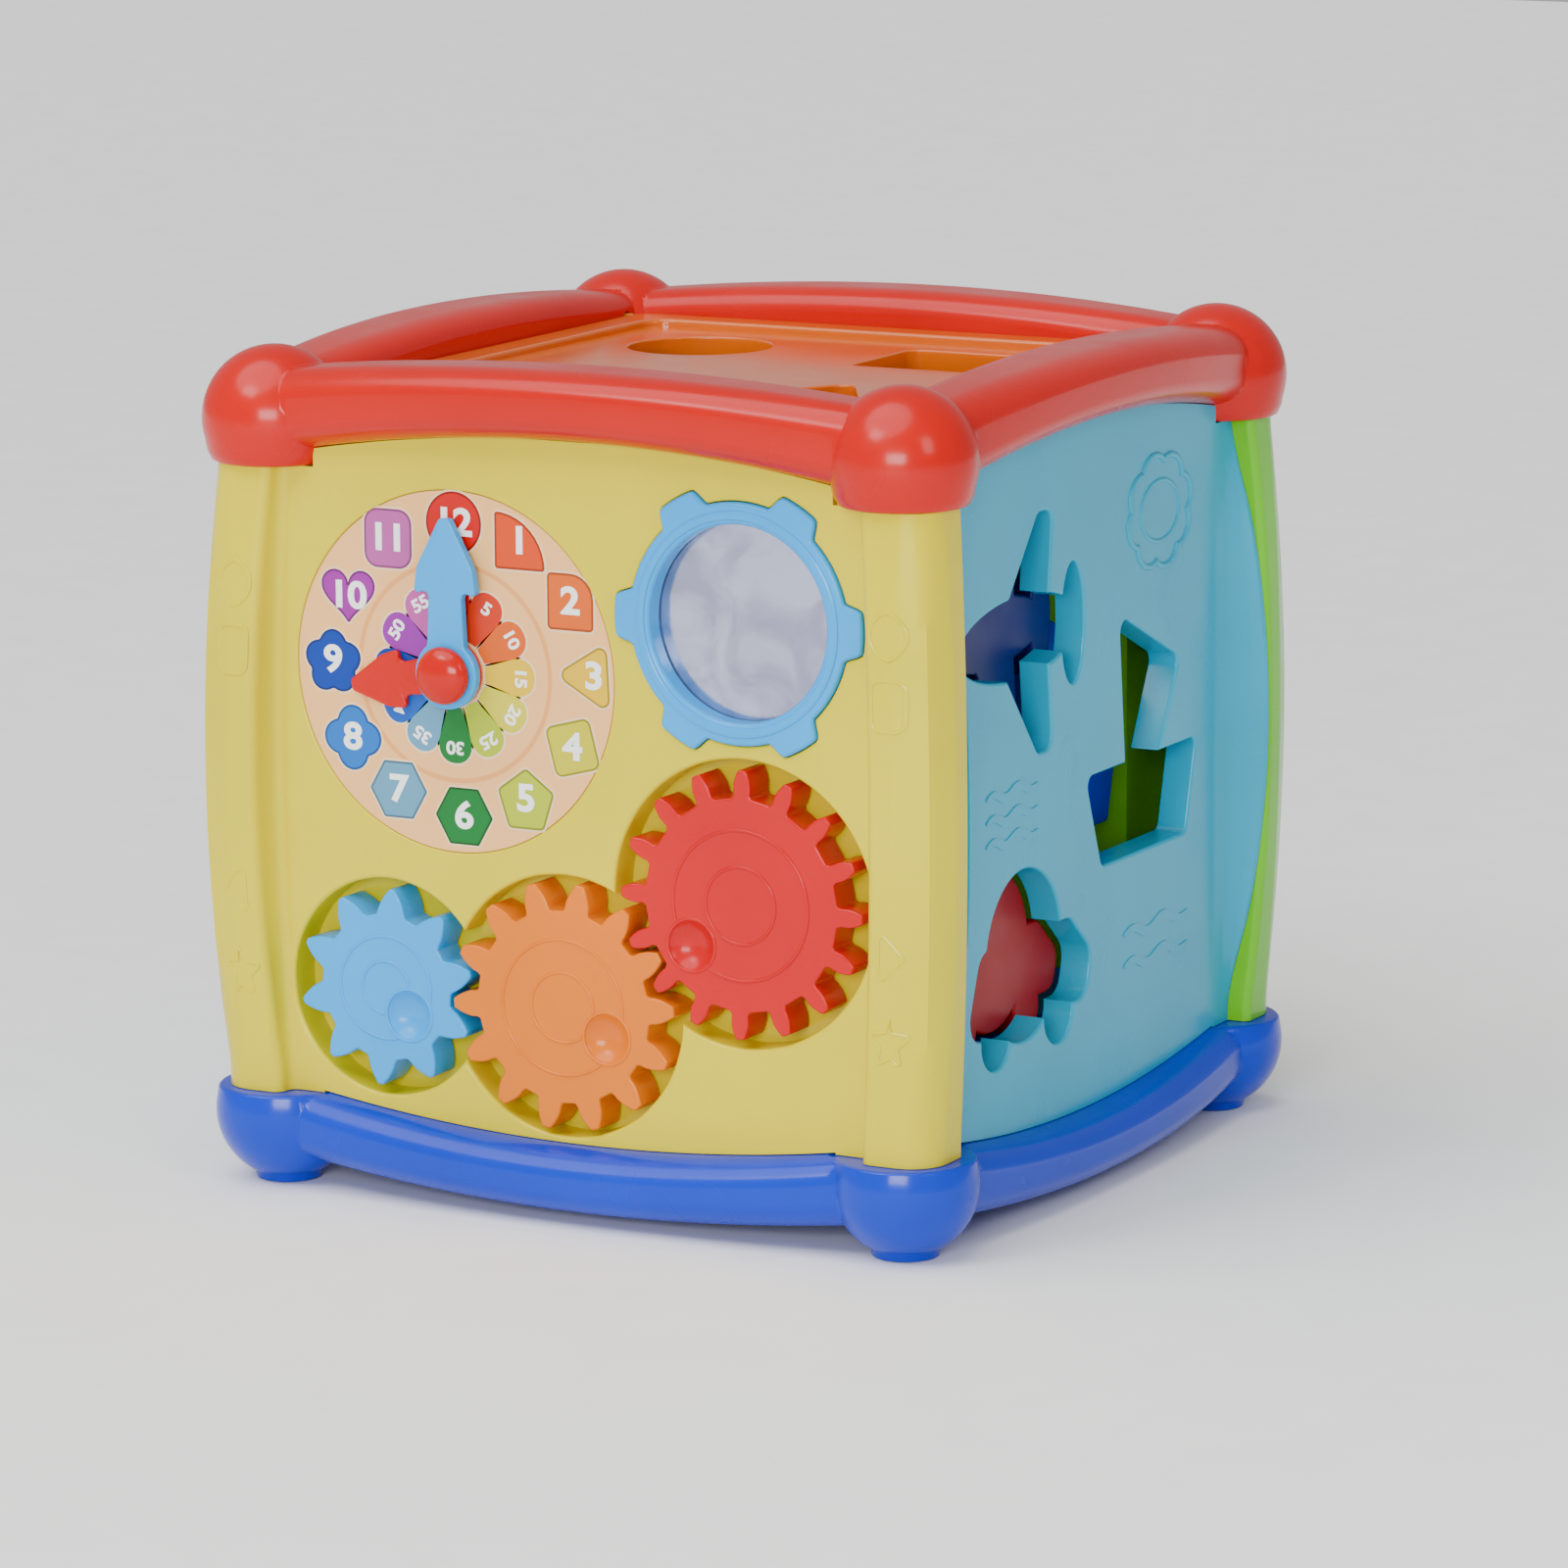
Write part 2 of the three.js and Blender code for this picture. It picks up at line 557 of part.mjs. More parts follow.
// A clock hand is a hub, a shaft and an arrow head, drawn pointing up and turned to its time.
function hand(length, headWidth, headLength, shaft, hub, inner, outer, degrees) {
  const outline = new THREE.Shape();
  const lean = Math.asin(shaft / 2 / hub);
  const waist = length - headLength * 0.45;
  const barb = length - headLength - 1.6;
  outline.moveTo(shaft / 2, hub * Math.cos(lean));
  outline.lineTo(shaft / 2 - 0.6, length - headLength);
  outline.lineTo(headWidth / 2, barb);
  outline.quadraticCurveTo(headWidth / 2 - 0.4, waist, 1.4, length - 0.6);
  outline.quadraticCurveTo(0, length + 0.6, -1.4, length - 0.6);
  outline.quadraticCurveTo(0.4 - headWidth / 2, waist, -headWidth / 2, barb);
  outline.lineTo(0.6 - shaft / 2, length - headLength);
  outline.lineTo(-shaft / 2, hub * Math.cos(lean));
  outline.absarc(0, 0, hub, Math.PI / 2 + lean, Math.PI * 2.5 - lean, false);
  const body = slab(outline, inner, outer);
  const drilled = cut(body, rod(0, 0, 3.3, inner - 5, outer + 5, 'front', 20));
  drilled.rotateY((degrees * Math.PI) / 180);
  drilled.translate(CLOCK_AT[0], 0, CLOCK_AT[1]);
  return drilled;
}

add('minute_hand', hand(33, 15.4, 15, 9, 7.4, 82.6, 84.5, 0), SKY, 0.25);
add('hour_hand', hand(25, 13, 12, 8, 7, 81.1, 82.2, -100), RED, 0.25);

function mirrorBezel() {
  const body = slab(bezelOutline(0), BACKING - 1, FIELD + 1);
  const flange = rod(...MIRROR_AT, 29.4, BACKING - 3.4, BACKING - GAP, 'front', 24);
  const pocket = rod(...RED_AT, GEARS[0].pocket + 2.5, 60, BACKING, 'front', 24);
  const window = rod(...MIRROR_AT, 21.4, 60, 90, 'front', 28);
  const seat = rod(...MIRROR_AT, 23, 60, BACKING - 1.2, 'front', 28);
  return cut(join(body, cut(flange, pocket)), window, seat);
}

add('mirror_bezel', mirrorBezel(), SKY, 0.28);
add('mirror_glass', rod(...MIRROR_AT, 22.6, BACKING - 3.4, BACKING - 1.5, 'front', 28), 0xb9bccf, 0.05, 1);

// ---------------------------------------------------------------- sorter shapes
// Each shape is a list of convex outlines that run together; grow moves all of them outwards.
const SHAPES = {
  plane: (g) => [
    ellipse(-33.9, MID + 32.9, 28 + g, 8.6 + g),
    ellipse(-8.8, MID + 32.4, 5.5 + g, 13 + g),
    rounded([[-45, MID + 34], [-21, MID + 34], [-18.6, MID + 58], [-25.5, MID + 58]], 3, g),
    rounded([[-25.5, MID + 7], [-18.6, MID + 7], [-21, MID + 31], [-45, MID + 31]], 3, g),
  ],
  boat: (g) => [
    rounded([[5.4, MID - 22.6], [47.6, MID - 22.6], [53, MID - 2.2], [-2.2, MID - 2.2]], 2.2, g),
    rounded([[17.4, MID - 6], [32, MID - 6], [44, MID + 17], [14, MID + 30.5]], 2.6, g),
  ],
  car: (g) => [
    ellipse(-31.9, MID - 35, 17.8 + g, 18.4 + g),
    rounded([[-59, MID - 49.6], [-2, MID - 49.6], [0.5, MID - 40], [-10, MID - 31], [-52, MID - 31]], 5, g),
    circle(-44.9, MID - 50.4, 6.75 + g, 14),
    circle(-15.5, MID - 50.4, 6.75 + g, 14),
  ],
};

function shapeSlab(name, grow, inner, outer, face) {
  return join(...SHAPES[name](grow).map((outline) => slab(outline, inner, outer, face, 2)));
}

// ---------------------------------------------------------------- side faces
// A side face is a flat plate whose long edges turn out towards the columns at mid height.
function sidePlate() {
  const half = EDGE - GAP;
  const options = { depth: TALL, steps: 8, bevelEnabled: false };
  const section = rectangle(-half, -FIELD, half, -BACKING, 0.6);
  const walls = new THREE.ExtrudeGeometry(section, { ...options, curveSegments: 2 });
  const lips = [-1, 1].map((side) => {
    const lip = new THREE.Shape();
    lip.moveTo(side * half, -FIELD + 1);
    lip.lineTo(side * half, -PROUD);
    lip.lineTo(side * (half - 0.8), -PROUD);
    lip.lineTo(side * (half - 1.4), -FIELD - 1.6);
    lip.lineTo(side * (half - 4.5), -FIELD + 1);
    const geometry = new THREE.ExtrudeGeometry(lip, options);
    const place = geometry.attributes.position;
    for (let i = 0; i < place.count; i += 1) {
      const tall = bowAt(place.getZ(i) + MID - TALL / 2);
      const out = -place.getY(i) - FIELD;
      place.setY(i, -FIELD - Math.min(out, out * tall));
    }
    return geometry;
  });
  const parts = [walls, ...lips].map((geometry) => {
    geometry.translate(0, 0, MID - TALL / 2);
    return bowColumns(geometry);
  });
  return common(join(...parts), faceSlab());
}

function rightPanel() {
  const panel = sidePlate();
  panel.rotateZ(FACE.right);
  const collars = Object.keys(SHAPES).map((name) => shapeSlab(name, 2, FIELD - 7, FIELD - 0.6, 'right'));
  const holes = Object.keys(SHAPES).map((name) => shapeSlab(name, 0, 60, 90, 'right'));
  return cut(join(panel, ...collars), ...holes);
}

add('right_panel', rightPanel(), CYAN);

// ---------------------------------------------------------------- left face
const SPINNER_AT = [-33, MID + 31];
const ROLLER_AT = [33, MID + 31];
const ROLLER = { radius: 14, half: 21, out: 74 };
const TRACK_HEIGHT = MID - 36;
const SLIDERS = [-40, 40];

function leftPanel() {
  const panel = sidePlate();
  const [x, z] = ROLLER_AT;
  const frameRim = slab(rectangle(x - 26, z - 19, x + 26, z + 19, 3), FIELD - 0.6, FIELD + 1.2);
  const cheeks = [-1, 1].map((side) => box(
    [x + side * 24.5 - 1.5, -BACKING - 0.5, z - 7],
    [x + side * 24.5 + 1.5, -66, z + 7],
  ));
  const window = slab(rectangle(x - 22.5, z - 15, x + 22.5, z + 15, 2), 60, 90);
  const axleHole = new THREE.CylinderGeometry(2.3, 2.3, 60, 16);
  axleHole.rotateZ(Math.PI / 2);
  axleHole.translate(x, -ROLLER.out, z);
  const rimOutline = rectangle(-60, TRACK_HEIGHT - 9, 60, TRACK_HEIGHT + 9, 8.9);
  const trackRim = slab(rimOutline, FIELD - 0.6, FIELD + 1);
  const track = slab(rectangle(-56, TRACK_HEIGHT - 4, 56, TRACK_HEIGHT + 4, 3.9), 60, 90);
  const spinnerHole = rod(...SPINNER_AT, 4.4, 60, 90);
  const whole = cut(join(panel, frameRim, ...cheeks, trackRim), window, axleHole, track, spinnerHole);
  whole.rotateZ(FACE.left);
  return whole;
}

add('left_panel', leftPanel(), CYAN);

function spinner() {
  const [x, z] = SPINNER_AT;
  const petals = [0, 1, 2, 3, 4].map((i) => {
    const turn = (2 * Math.PI * i) / 5 + Math.PI / 2;
    const petal = ellipse(16 * Math.cos(turn), 16 * Math.sin(turn), 11.5, 8.2, turn);
    const geometry = slab(petal, FIELD + 0.8, FIELD + 5.4, 'front', 6);
    geometry.translate(x, 0, z);
    return geometry;
  });
  const hub = rod(x, z, 9, FIELD + 0.6, FIELD + 6.4);
  const shaft = rod(x, z, 4.1, BACKING - 3, FIELD + 2);
  const whole = join(...petals, hub, shaft);
  const drilled = cut(whole, rod(x, z, 1.6, 60, FIELD, 'front', 8));
  drilled.rotateZ(FACE.left);
  return drilled;
}

add('spinner', spinner(), 0xff7a1e, 0.3);
const spinnerScrew = join(
  rod(...SPINNER_AT, 7, BACKING - 4.9, BACKING - 3.3, 'left', 14),
  rod(...SPINNER_AT, 1.3, BACKING - 3.6, FIELD - 2, 'left', 8),
);
add('spinner_screw', spinnerScrew, 0xb8bcc2, 0.35, 1);

function roller() {
  const { radius, half, out } = ROLLER;
  const barrel = new THREE.Shape();
  const ribs = 12;
  for (let i = 0; i < ribs * 4; i += 1) {
    const angle = (2 * Math.PI * i) / (ribs * 4);
    const size = radius - (i % 4 < 2 ? 0 : 1.4);
    const point = [size * Math.cos(angle), size * Math.sin(angle)];
    if (i === 0) barrel.moveTo(...point);
    else barrel.lineTo(...point);
  }
  barrel.closePath();
  barrel.holes.push(new THREE.Path().absarc(0, 0, 2.3, 0, 2 * Math.PI, true));
  const options = { depth: 2 * half, bevelEnabled: false, curveSegments: 8 };
  const geometry = new THREE.ExtrudeGeometry(barrel, options);
  geometry.translate(0, 0, -half);
  geometry.rotateY(Math.PI / 2);
  geometry.translate(ROLLER_AT[0], -out, ROLLER_AT[1]);
  geometry.rotateZ(FACE.left);
  return geometry;
}

add('roller', roller(), 0xffc81e, 0.3);
const rollerPin = new THREE.CylinderGeometry(2, 2, 51, 16);
rollerPin.rotateZ(Math.PI / 2);
rollerPin.translate(ROLLER_AT[0], -ROLLER.out, ROLLER_AT[1]);
rollerPin.rotateZ(FACE.left);
add('roller_axle', rollerPin, 0xc4c8cc, 0.3, 1);

SLIDERS.forEach((x, i) => {
  const profile = [[0, 76], [7, 76], [7, 78.2], [3.5, 78.2], [3.5, 82.4], [10.5, 82.4], [11, 83.2]];
  profile.push([11, 85.4], [9, 87.6], [0, 88.6]);
  add(`slider_knob_${i + 1}`, turned(profile, x, TRACK_HEIGHT, 'left', 16), i === 0 ? RED : GREEN, 0.28);
});

// ---------------------------------------------------------------- music panel on the back
const KEY_PITCH = 22;
const KEY_HALF = 9.6;
const KEY_LOW = MID - 58;
const KEY_HIGH = MID - 12;
const DRUM_AT = [-30, MID + 25];
const DRUM_RADIUS = 20;
const LAMP_AT = [32, MID + 36];
const SPEAKER_AT = [32, MID + 8];
const SWITCH_AT = [0, MID + 57];
const KEY_COLOURS = [RED, ORANGE, 0xffe11e, SKY, 0x8a4fd8];
const HOUSING_WALL = 1.8;
const HOUSING = { half: 62, low: MID - 64, high: MID + 66, back: 57 };

function keyOutline(index, grow) {
  const x = (index - 2) * KEY_PITCH;
  return rectangle(x - KEY_HALF, KEY_LOW, x + KEY_HALF, KEY_HIGH, 1.5, grow);
}

function backPanel() {
  const shell = columnShell('back');
  const windows = KEY_COLOURS.map((_, i) => slab(keyOutline(i, 0.4), 60, 90, 'back', 1));
  const drumHole = rod(...DRUM_AT, DRUM_RADIUS + 0.5, 60, 90, 'back', 28);
  const lampHole = rod(...LAMP_AT, 11.4, 60, 90, 'back', 20);
  const [x0, z0] = SWITCH_AT;
  const switchSlot = slab(rectangle(x0 - 7, z0 - 3, x0 + 7, z0 + 3, 1), 60, 90, 'back', 1);
  const sound = [0, 1, 2, 3, 4].map((i) => {
    const reach = i === 0 ? 0 : 7.5;
    const angle = (Math.PI * i) / 2;
    const x = SPEAKER_AT[0] + reach * Math.cos(angle);
    return rod(x, SPEAKER_AT[1] + reach * Math.sin(angle), 2.4, 60, 90, 'back', 6);
  });
  return cut(shell, ...windows, drumHole, lampHole, switchSlot, ...sound);
}

add('back_panel', backPanel(), GREEN);

KEY_COLOURS.forEach((color, i) => {
  const cap = slab(keyOutline(i, 0), 77.5, 85, 'back', 1);
  const flange = slab(keyOutline(i, 1.1), 76.7, BACKING - GAP, 'back', 1);
  add(`piano_key_${i + 1}`, join(cap, flange), color, 0.28);
});

const drumProfile = [[0, 76.4], [DRUM_RADIUS + 2, 76.4], [DRUM_RADIUS + 2, BACKING - GAP]];
drumProfile.push([DRUM_RADIUS, BACKING - GAP], [DRUM_RADIUS, 84.5], [DRUM_RADIUS - 2.4, 86.4], [0, 87.8]);
add('drum_button', turned(drumProfile, ...DRUM_AT, 'back', 24), 0xff7a1e, 0.3);

const lampProfile = [[0, 76.6], [13, 76.6], [13, BACKING - GAP], [11, BACKING - GAP], [11, 81.6]];
lampProfile.push([8.4, 84.8], [0, 86.6]);
add('light_lens', turned(lampProfile, ...LAMP_AT, 'back', 18), 0xff4a3a, 0.1, 0, 0.7);

const KNOB_X = SWITCH_AT[0] - 3.1; // middle of the switch at off
const switchPart = (halfWidth, halfHeight, outer) => {
  const outline = rectangle(-halfWidth, -halfHeight, halfWidth, halfHeight, 0.7);
  const geometry = slab(outline, 75, outer, 'back', 1);
  geometry.translate(-KNOB_X, 0, SWITCH_AT[1]);
  return geometry;
};
add('power_switch', join(switchPart(2.5, 2.5, 82.6), switchPart(6.5, 4.6, 77.9)), 0xf4f4f4, 0.35);

function musicHousing() {
  const { half, low, high, back } = HOUSING;
  const outside = slab(rectangle(-half, low, half, high, 4), back, BACKING - GAP, 'back');
  const inside = slab(rectangle(-half, low, half, high, 4, -HOUSING_WALL), back + HOUSING_WALL, 90, 'back');
  const leadHole = rod(-LEAD_X, 31, 2.2, 50, 62, 'back', 12);
  return cut(outside, inside, leadHole);
}

add('music_housing', musicHousing(), 0x6f9a1c, 0.5);
add('circuit_board', slab(rectangle(-58, MID - 60, 58, MID - 8, 1), 66, 67.6, 'back'), 0x1d7a3c, 0.45);
const speakerProfile = [[0, 62], [8, 62], [8, 67], [18, 73.4], [18, 76.2], [15.8, 76.2], [5, 70], [0, 70]];
const speaker = turned(speakerProfile, ...SPEAKER_AT, 'back', 18);
add('speaker', speaker, 0x33353a, 0.6);

// ---------------------------------------------------------------- lid
const LID_SHAPES = {
  round: {
    at: [-LID_PITCH, LID_PITCH],
    outlines: (g) => [circle(0, 0, 16 + g, 24)],
  },
  square: {
    at: [LID_PITCH, LID_PITCH],
    outlines: (g) => [rectangle(-15, -15, 15, 15, 3, g)],
  },
  triangle: {
    at: [LID_PITCH, -LID_PITCH],
    outlines: (g) => [rounded([[-18.5, -13], [18.5, -13], [0, 19]], 3, g)],
  },
  star: {
    at: [-LID_PITCH, -LID_PITCH],
    outlines: (g) => [0, 1, 2, 3, 4].map((i) => {
      const turn = (2 * Math.PI * i) / 5 + Math.PI / 2;
      const tip = (angle, radius) => [radius * Math.cos(turn + angle), radius * Math.sin(turn + angle)];
      return rounded([tip(0, 19.5), tip(1.25, 8.2), tip(Math.PI, 6), tip(-1.25, 8.2)], 0.9, g);
    }),
  },
};

function lidShape(name, grow, low, high) {
  const { at, outlines } = LID_SHAPES[name];
  const geometry = join(...outlines(grow).map((outline) => plate(outline, low, high, 2)));
  geometry.translate(...at, 0);
  return geometry;
}

function sorterLid() {
  const bottom = LID_TOP - 1.6 - LID_PLATE;
  const sheet = box([-LID_HALF, -LID_HALF, bottom], [LID_HALF, LID_HALF, bottom + LID_PLATE]);
  const rim = cut(
    box([-LID_HALF, -LID_HALF, bottom], [LID_HALF, LID_HALF, LID_TOP]),
    plate(rectangle(-57.5, -57.5, 57.5, 57.5, 5), bottom - 1, LID_TOP + 1),
  );
  const pins = [-1, 1].map((side) => {
    const pin = new THREE.CylinderGeometry(2, 2, 5, 20);
    pin.rotateZ(Math.PI / 2);
    pin.translate(side * (LID_HALF + 1.6), ...LID_AXIS);
    return pin;
  });
  const names = Object.keys(LID_SHAPES);
  const collars = names.map((name) => lidShape(name, 1.8, bottom - 3.4, bottom + 0.5));
  const holes = names.map((name) => lidShape(name, 0, bottom - 10, LID_TOP + 5));
  const corners = CORNERS.map(([x, y]) => post(x, y, BALL + 0.8, bottom - 5, LID_TOP + 5, 24));
  const notch = post(0, -LID_HALF - 3, 9, bottom - 5, LID_TOP + 5, 16);
  return cut(join(cut(join(sheet, rim), ...corners), ...pins, ...collars), ...holes, notch);
}

add('sorter_lid', sorterLid(), ORANGE, 0.15, 0, 0.75);

// ---------------------------------------------------------------- sorter blocks
const BLOCK_CLEARANCE = -0.8; // how much smaller a block is than its hole
const BLOCK_WALL = 2;

function sideBlock(name, inner, outer) {
  const outside = shapeSlab(name, BLOCK_CLEARANCE, inner, outer, 'right');
  const inside = shapeSlab(name, BLOCK_CLEARANCE - BLOCK_WALL, inner - 5, outer - BLOCK_WALL, 'right');
  return cut(outside, inside);
}

add('plane_block', sideBlock('plane', 55.4, 73.4), NAVY, 0.3);
add('boat_block', sideBlock('boat', 46.4, 62.4), 0x1e50d8, 0.3);
add('car_block', sideBlock('car', 55.4, 73.4), 0xe0141e, 0.3);

const LID_BLOCK_HIGH = 30;
const LID_BLOCK_COLOURS = { round: 0xe0141e, square: 0x1e50d8, triangle: YELLOW, star: GREEN };
Object.keys(LID_SHAPES).forEach((name) => {
  const low = FLOOR_TOP + GAP;
  const outside = lidShape(name, BLOCK_CLEARANCE, low, low + LID_BLOCK_HIGH);
  const inside = lidShape(name, BLOCK_CLEARANCE - BLOCK_WALL, low - 5, low + LID_BLOCK_HIGH - BLOCK_WALL);
  add(`${name}_block`, cut(outside, inside), LID_BLOCK_COLOURS[name], 0.3);
});

// ---------------------------------------------------------------- battery lead
const leadRoute = new THREE.CatmullRomCurve3([
  new THREE.Vector3(LEAD_X, BATTERY_BOX.back + GAP, 24),
  new THREE.Vector3(LEAD_X, BATTERY_BOX.back + 2.4, 25),
  new THREE.Vector3(LEAD_X, HOUSING.back - 2.4, 30),
  new THREE.Vector3(LEAD_X, HOUSING.back - GAP, 31),
]);
const leadSection = circle(0, 0, 1.5, 6);
const lead = new THREE.ExtrudeGeometry(leadSection, { steps: 10, extrudePath: leadRoute });
add('battery_lead', lead, 0xc02020, 0.5);

export default cube;
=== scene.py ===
import json
import math

import bmesh
import bpy
from mathutils import Matrix, Vector


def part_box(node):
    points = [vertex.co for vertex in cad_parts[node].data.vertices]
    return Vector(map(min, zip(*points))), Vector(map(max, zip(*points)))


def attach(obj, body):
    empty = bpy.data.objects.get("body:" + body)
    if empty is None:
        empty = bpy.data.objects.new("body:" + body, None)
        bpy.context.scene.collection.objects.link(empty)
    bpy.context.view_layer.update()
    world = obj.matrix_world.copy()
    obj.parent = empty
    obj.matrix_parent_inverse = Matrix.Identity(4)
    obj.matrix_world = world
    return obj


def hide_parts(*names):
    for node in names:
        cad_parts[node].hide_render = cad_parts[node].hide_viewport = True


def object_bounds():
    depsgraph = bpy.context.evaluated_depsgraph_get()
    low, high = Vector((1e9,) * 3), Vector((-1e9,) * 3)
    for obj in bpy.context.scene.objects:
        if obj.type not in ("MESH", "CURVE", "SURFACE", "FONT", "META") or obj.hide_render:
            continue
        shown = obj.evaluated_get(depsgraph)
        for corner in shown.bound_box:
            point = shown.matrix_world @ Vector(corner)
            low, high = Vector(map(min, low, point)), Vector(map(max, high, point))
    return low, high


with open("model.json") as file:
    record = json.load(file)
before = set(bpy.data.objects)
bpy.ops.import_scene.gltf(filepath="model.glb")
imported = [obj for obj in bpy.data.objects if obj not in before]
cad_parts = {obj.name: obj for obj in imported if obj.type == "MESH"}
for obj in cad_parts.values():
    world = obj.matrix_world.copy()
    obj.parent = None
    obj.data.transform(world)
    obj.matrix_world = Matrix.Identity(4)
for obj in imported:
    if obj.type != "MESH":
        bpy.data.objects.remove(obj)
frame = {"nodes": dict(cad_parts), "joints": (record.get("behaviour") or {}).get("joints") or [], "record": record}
cad_low, cad_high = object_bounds()

# ---------------- sizes, in millimetres
# Faces are named by the way they look. On a face, x runs to the right, "out" is the distance from the cube's
# centre and height is above the table.
MM = 0.001


def node_box(node):
    low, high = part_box(node)
    return low / MM, high / MM


def joint_at(name):
    joint = next(j for j in frame["joints"] if j["name"] == name)
    return [value / MM for value in joint["pos_m"]]


def on_front(name):
    """Where a joint's axis meets the front face, as x and height."""
    x, _, height = joint_at(name)
    return x, height


HEIGHT = cad_high.z / MM
MID = HEIGHT / 2
LID_TOP = MID + 82.1
INSIDE = 60  # where cutters start, well behind every face
OUTSIDE = 95  # past every face
BALL = 15.5  # radius of the corner caps and feet
CORNER = MID - BALL
WALL = 2.4
FIELD = 81  # outer surface of every face
BACKING = FIELD - WALL
PROUD = 86  # outer surface of the corner columns
EDGE = 70  # inner edge of the corner columns
COLUMN_ROUND = 8
BOW = 3.2  # how far the columns bow out at mid height
COLUMN_REACH = 65  # half the height over which they bow
COLUMN_TOP = MID + 66
COLUMN_FOOT = MID - 69.5
TALL = 150  # rough height of a face before it is trimmed
RAIL_END = 60.6
RAIL_OUTER = 85
RAIL_INNER = 66
RAIL_BULGE = 4.2  # how far a rail bows out
TOP_RAIL = {"low": MID + 67.3, "high": MID + 85.6, "low_rise": 8.1, "high_rise": 4.4}
FOOT_RAIL = {"low": MID - 82.9, "high": MID - 66.7, "low_rise": -5.1, "high_rise": -7.3}
SEAM = 0.15  # half the gap between neighbours
CORNERS = [(-CORNER, -CORNER), (CORNER, -CORNER), (CORNER, CORNER), (-CORNER, CORNER)]
FACES = ["front", "right", "back", "left"]


# ---------------- outlines: lists of (x, y) points
def smooth(t):
    x = min(1.0, max(0.0, t))
    return x * x * (3 - 2 * x)


def turned_points(points, angle, x=0.0, y=0.0):
    c, s = math.cos(angle), math.sin(angle)
    return [(x + px * c - py * s, y + px * s + py * c) for px, py in points]


def polar(x, y, radius, angle):
    return x + radius * math.cos(angle), y + radius * math.sin(angle)


def round_outline(x, y, sides, radius_at, start=0.0):
    """An outline whose radius follows its angle."""
    angles = [start + 2 * math.pi * i / sides for i in range(sides)]
    return [polar(x, y, radius_at(a), a) for a in angles]


def ellipse(x, y, across, up, turn=0.0, sides=72):
    unit = round_outline(0, 0, sides, lambda a: 1)
    return turned_points([(across * px, up * py) for px, py in unit], turn, x, y)


def circle(x, y, radius, sides=72):
    return ellipse(x, y, radius, radius, 0, sides)


def fillet(points, radii, steps=6):
    """Rounds the corners of a closed outline, hollow or not, each by its own radius."""
    if not isinstance(radii, (list, tuple)):
        radii = [radii] * len(points)
    corners = [Vector(p) for p in points]
    result = []
    for i, (corner, radius) in enumerate(zip(corners, radii)):
        if radius <= 0:
            result.append(tuple(corner))
            continue
        back = (corners[i - 1] - corner).normalized()
        on = (corners[(i + 1) % len(corners)] - corner).normalized()
        half = back.angle(on) / 2
        reach = radius / math.tan(half)
        centre = corner + (back + on).normalized() * radius / math.sin(half)
        start = corner + back * reach - centre
        finish = corner + on * reach - centre
        sweep = start.angle_signed(finish) * -1
        for k in range(steps + 1):
            arm = start.copy()
            arm.rotate(Matrix.Rotation(sweep * k / steps, 2))
            result.append(tuple(centre + arm))
    return result


def rectangle(left, bottom, right, top, radius=1.0, steps=6):
    return fillet([(left, bottom), (right, bottom), (right, top), (left, top)], radius, steps)


def area(points):
    return sum(a[0] * b[1] - b[0] * a[1] for a, b in zip(points, points[1:] + points[:1])) / 2


def cross(a, b):
    return a.x * b.y - a.y * b.x


def offset(points, distance):
    """Moves a closed outline outwards by a distance, or inwards if it is negative. An edge that the
    move uses up closes to a point, so the result has as many points as the outline."""
    if abs(distance) < 1e-9:
        return list(points)
    count = len(points)
    side = 1 if area(points) > 0 else -1
    corners = [Vector(p) for p in points]
    along = [(corners[(i + 1) % count] - corners[i]).normalized() for i in range(count)]
    normals = [Vector((a.y, -a.x)) * side for a in along]

    def meeting(before, after):
        start = corners[before] + normals[before] * distance
        end = corners[after] + normals[after] * distance
        lean = cross(along[before], along[after])
        if abs(lean) < 0.02:
            mean = (normals[before] + normals[after]).normalized()
            last = corners[(before + 1) % count]
            return (corners[after] + last) / 2 + mean * distance
        return start + along[before] * cross(end - start, along[after]) / lean

    active = list(range(count))
    while True:
        starts = {after: meeting(active[k - 1], after) for k, after in enumerate(active)}
        ends = active[1:] + active[:1]
        kept = [i for i, after in zip(active, ends) if (starts[after] - starts[i]).dot(along[i]) > 0]
        if len(kept) == len(active) or len(kept) < 3:
            break
        active = kept
    result = []
    upcoming = active[0]
    for i in reversed(range(count)):
        if i in starts:
            upcoming = i
        result.append(tuple(starts[upcoming]))
    return result[::-1]


# ---------------- profiles: lists of (grow, out) pairs
def soft(inner, outer, front=0.6, behind=0.0, steps=4):
    """A plate's edge from its back to its front, rounded by the two radii."""
    quarter = [math.pi / 2 * i / steps for i in range(steps + 1)]
    start = [(-behind * (1 - math.sin(a)), inner + behind * (1 - math.cos(a))) for a in quarter]
    end = [(-front * (1 - math.cos(a)), outer - front * (1 - math.sin(a))) for a in quarter]
    return (start if behind else [(0, inner)]) + end


def flared(inner, surface, radius=0.7, steps=4):
    """A cutter's edge that leaves a rounded rim where it comes through a surface."""
    quarter = [math.pi / 2 * i / steps for i in range(steps + 1)]
    rim = [(radius * (1 - math.cos(a)), surface - radius * (1 - math.sin(a))) for a in quarter]
    return [(0, inner)] + rim + [(radius, surface + 12)]


def straight(inner, outer):
    return [(0, inner), (0, outer)]


# ---------------- solids: Blender objects in millimetres
def place(face, x, out, height):
    return {
        "front": (x, -out, height),
        "right": (out, x, height),
        "back": (-x, out, height),
        "left": (-out, -x, height),
        "up": (x, height, out),
    }[face]


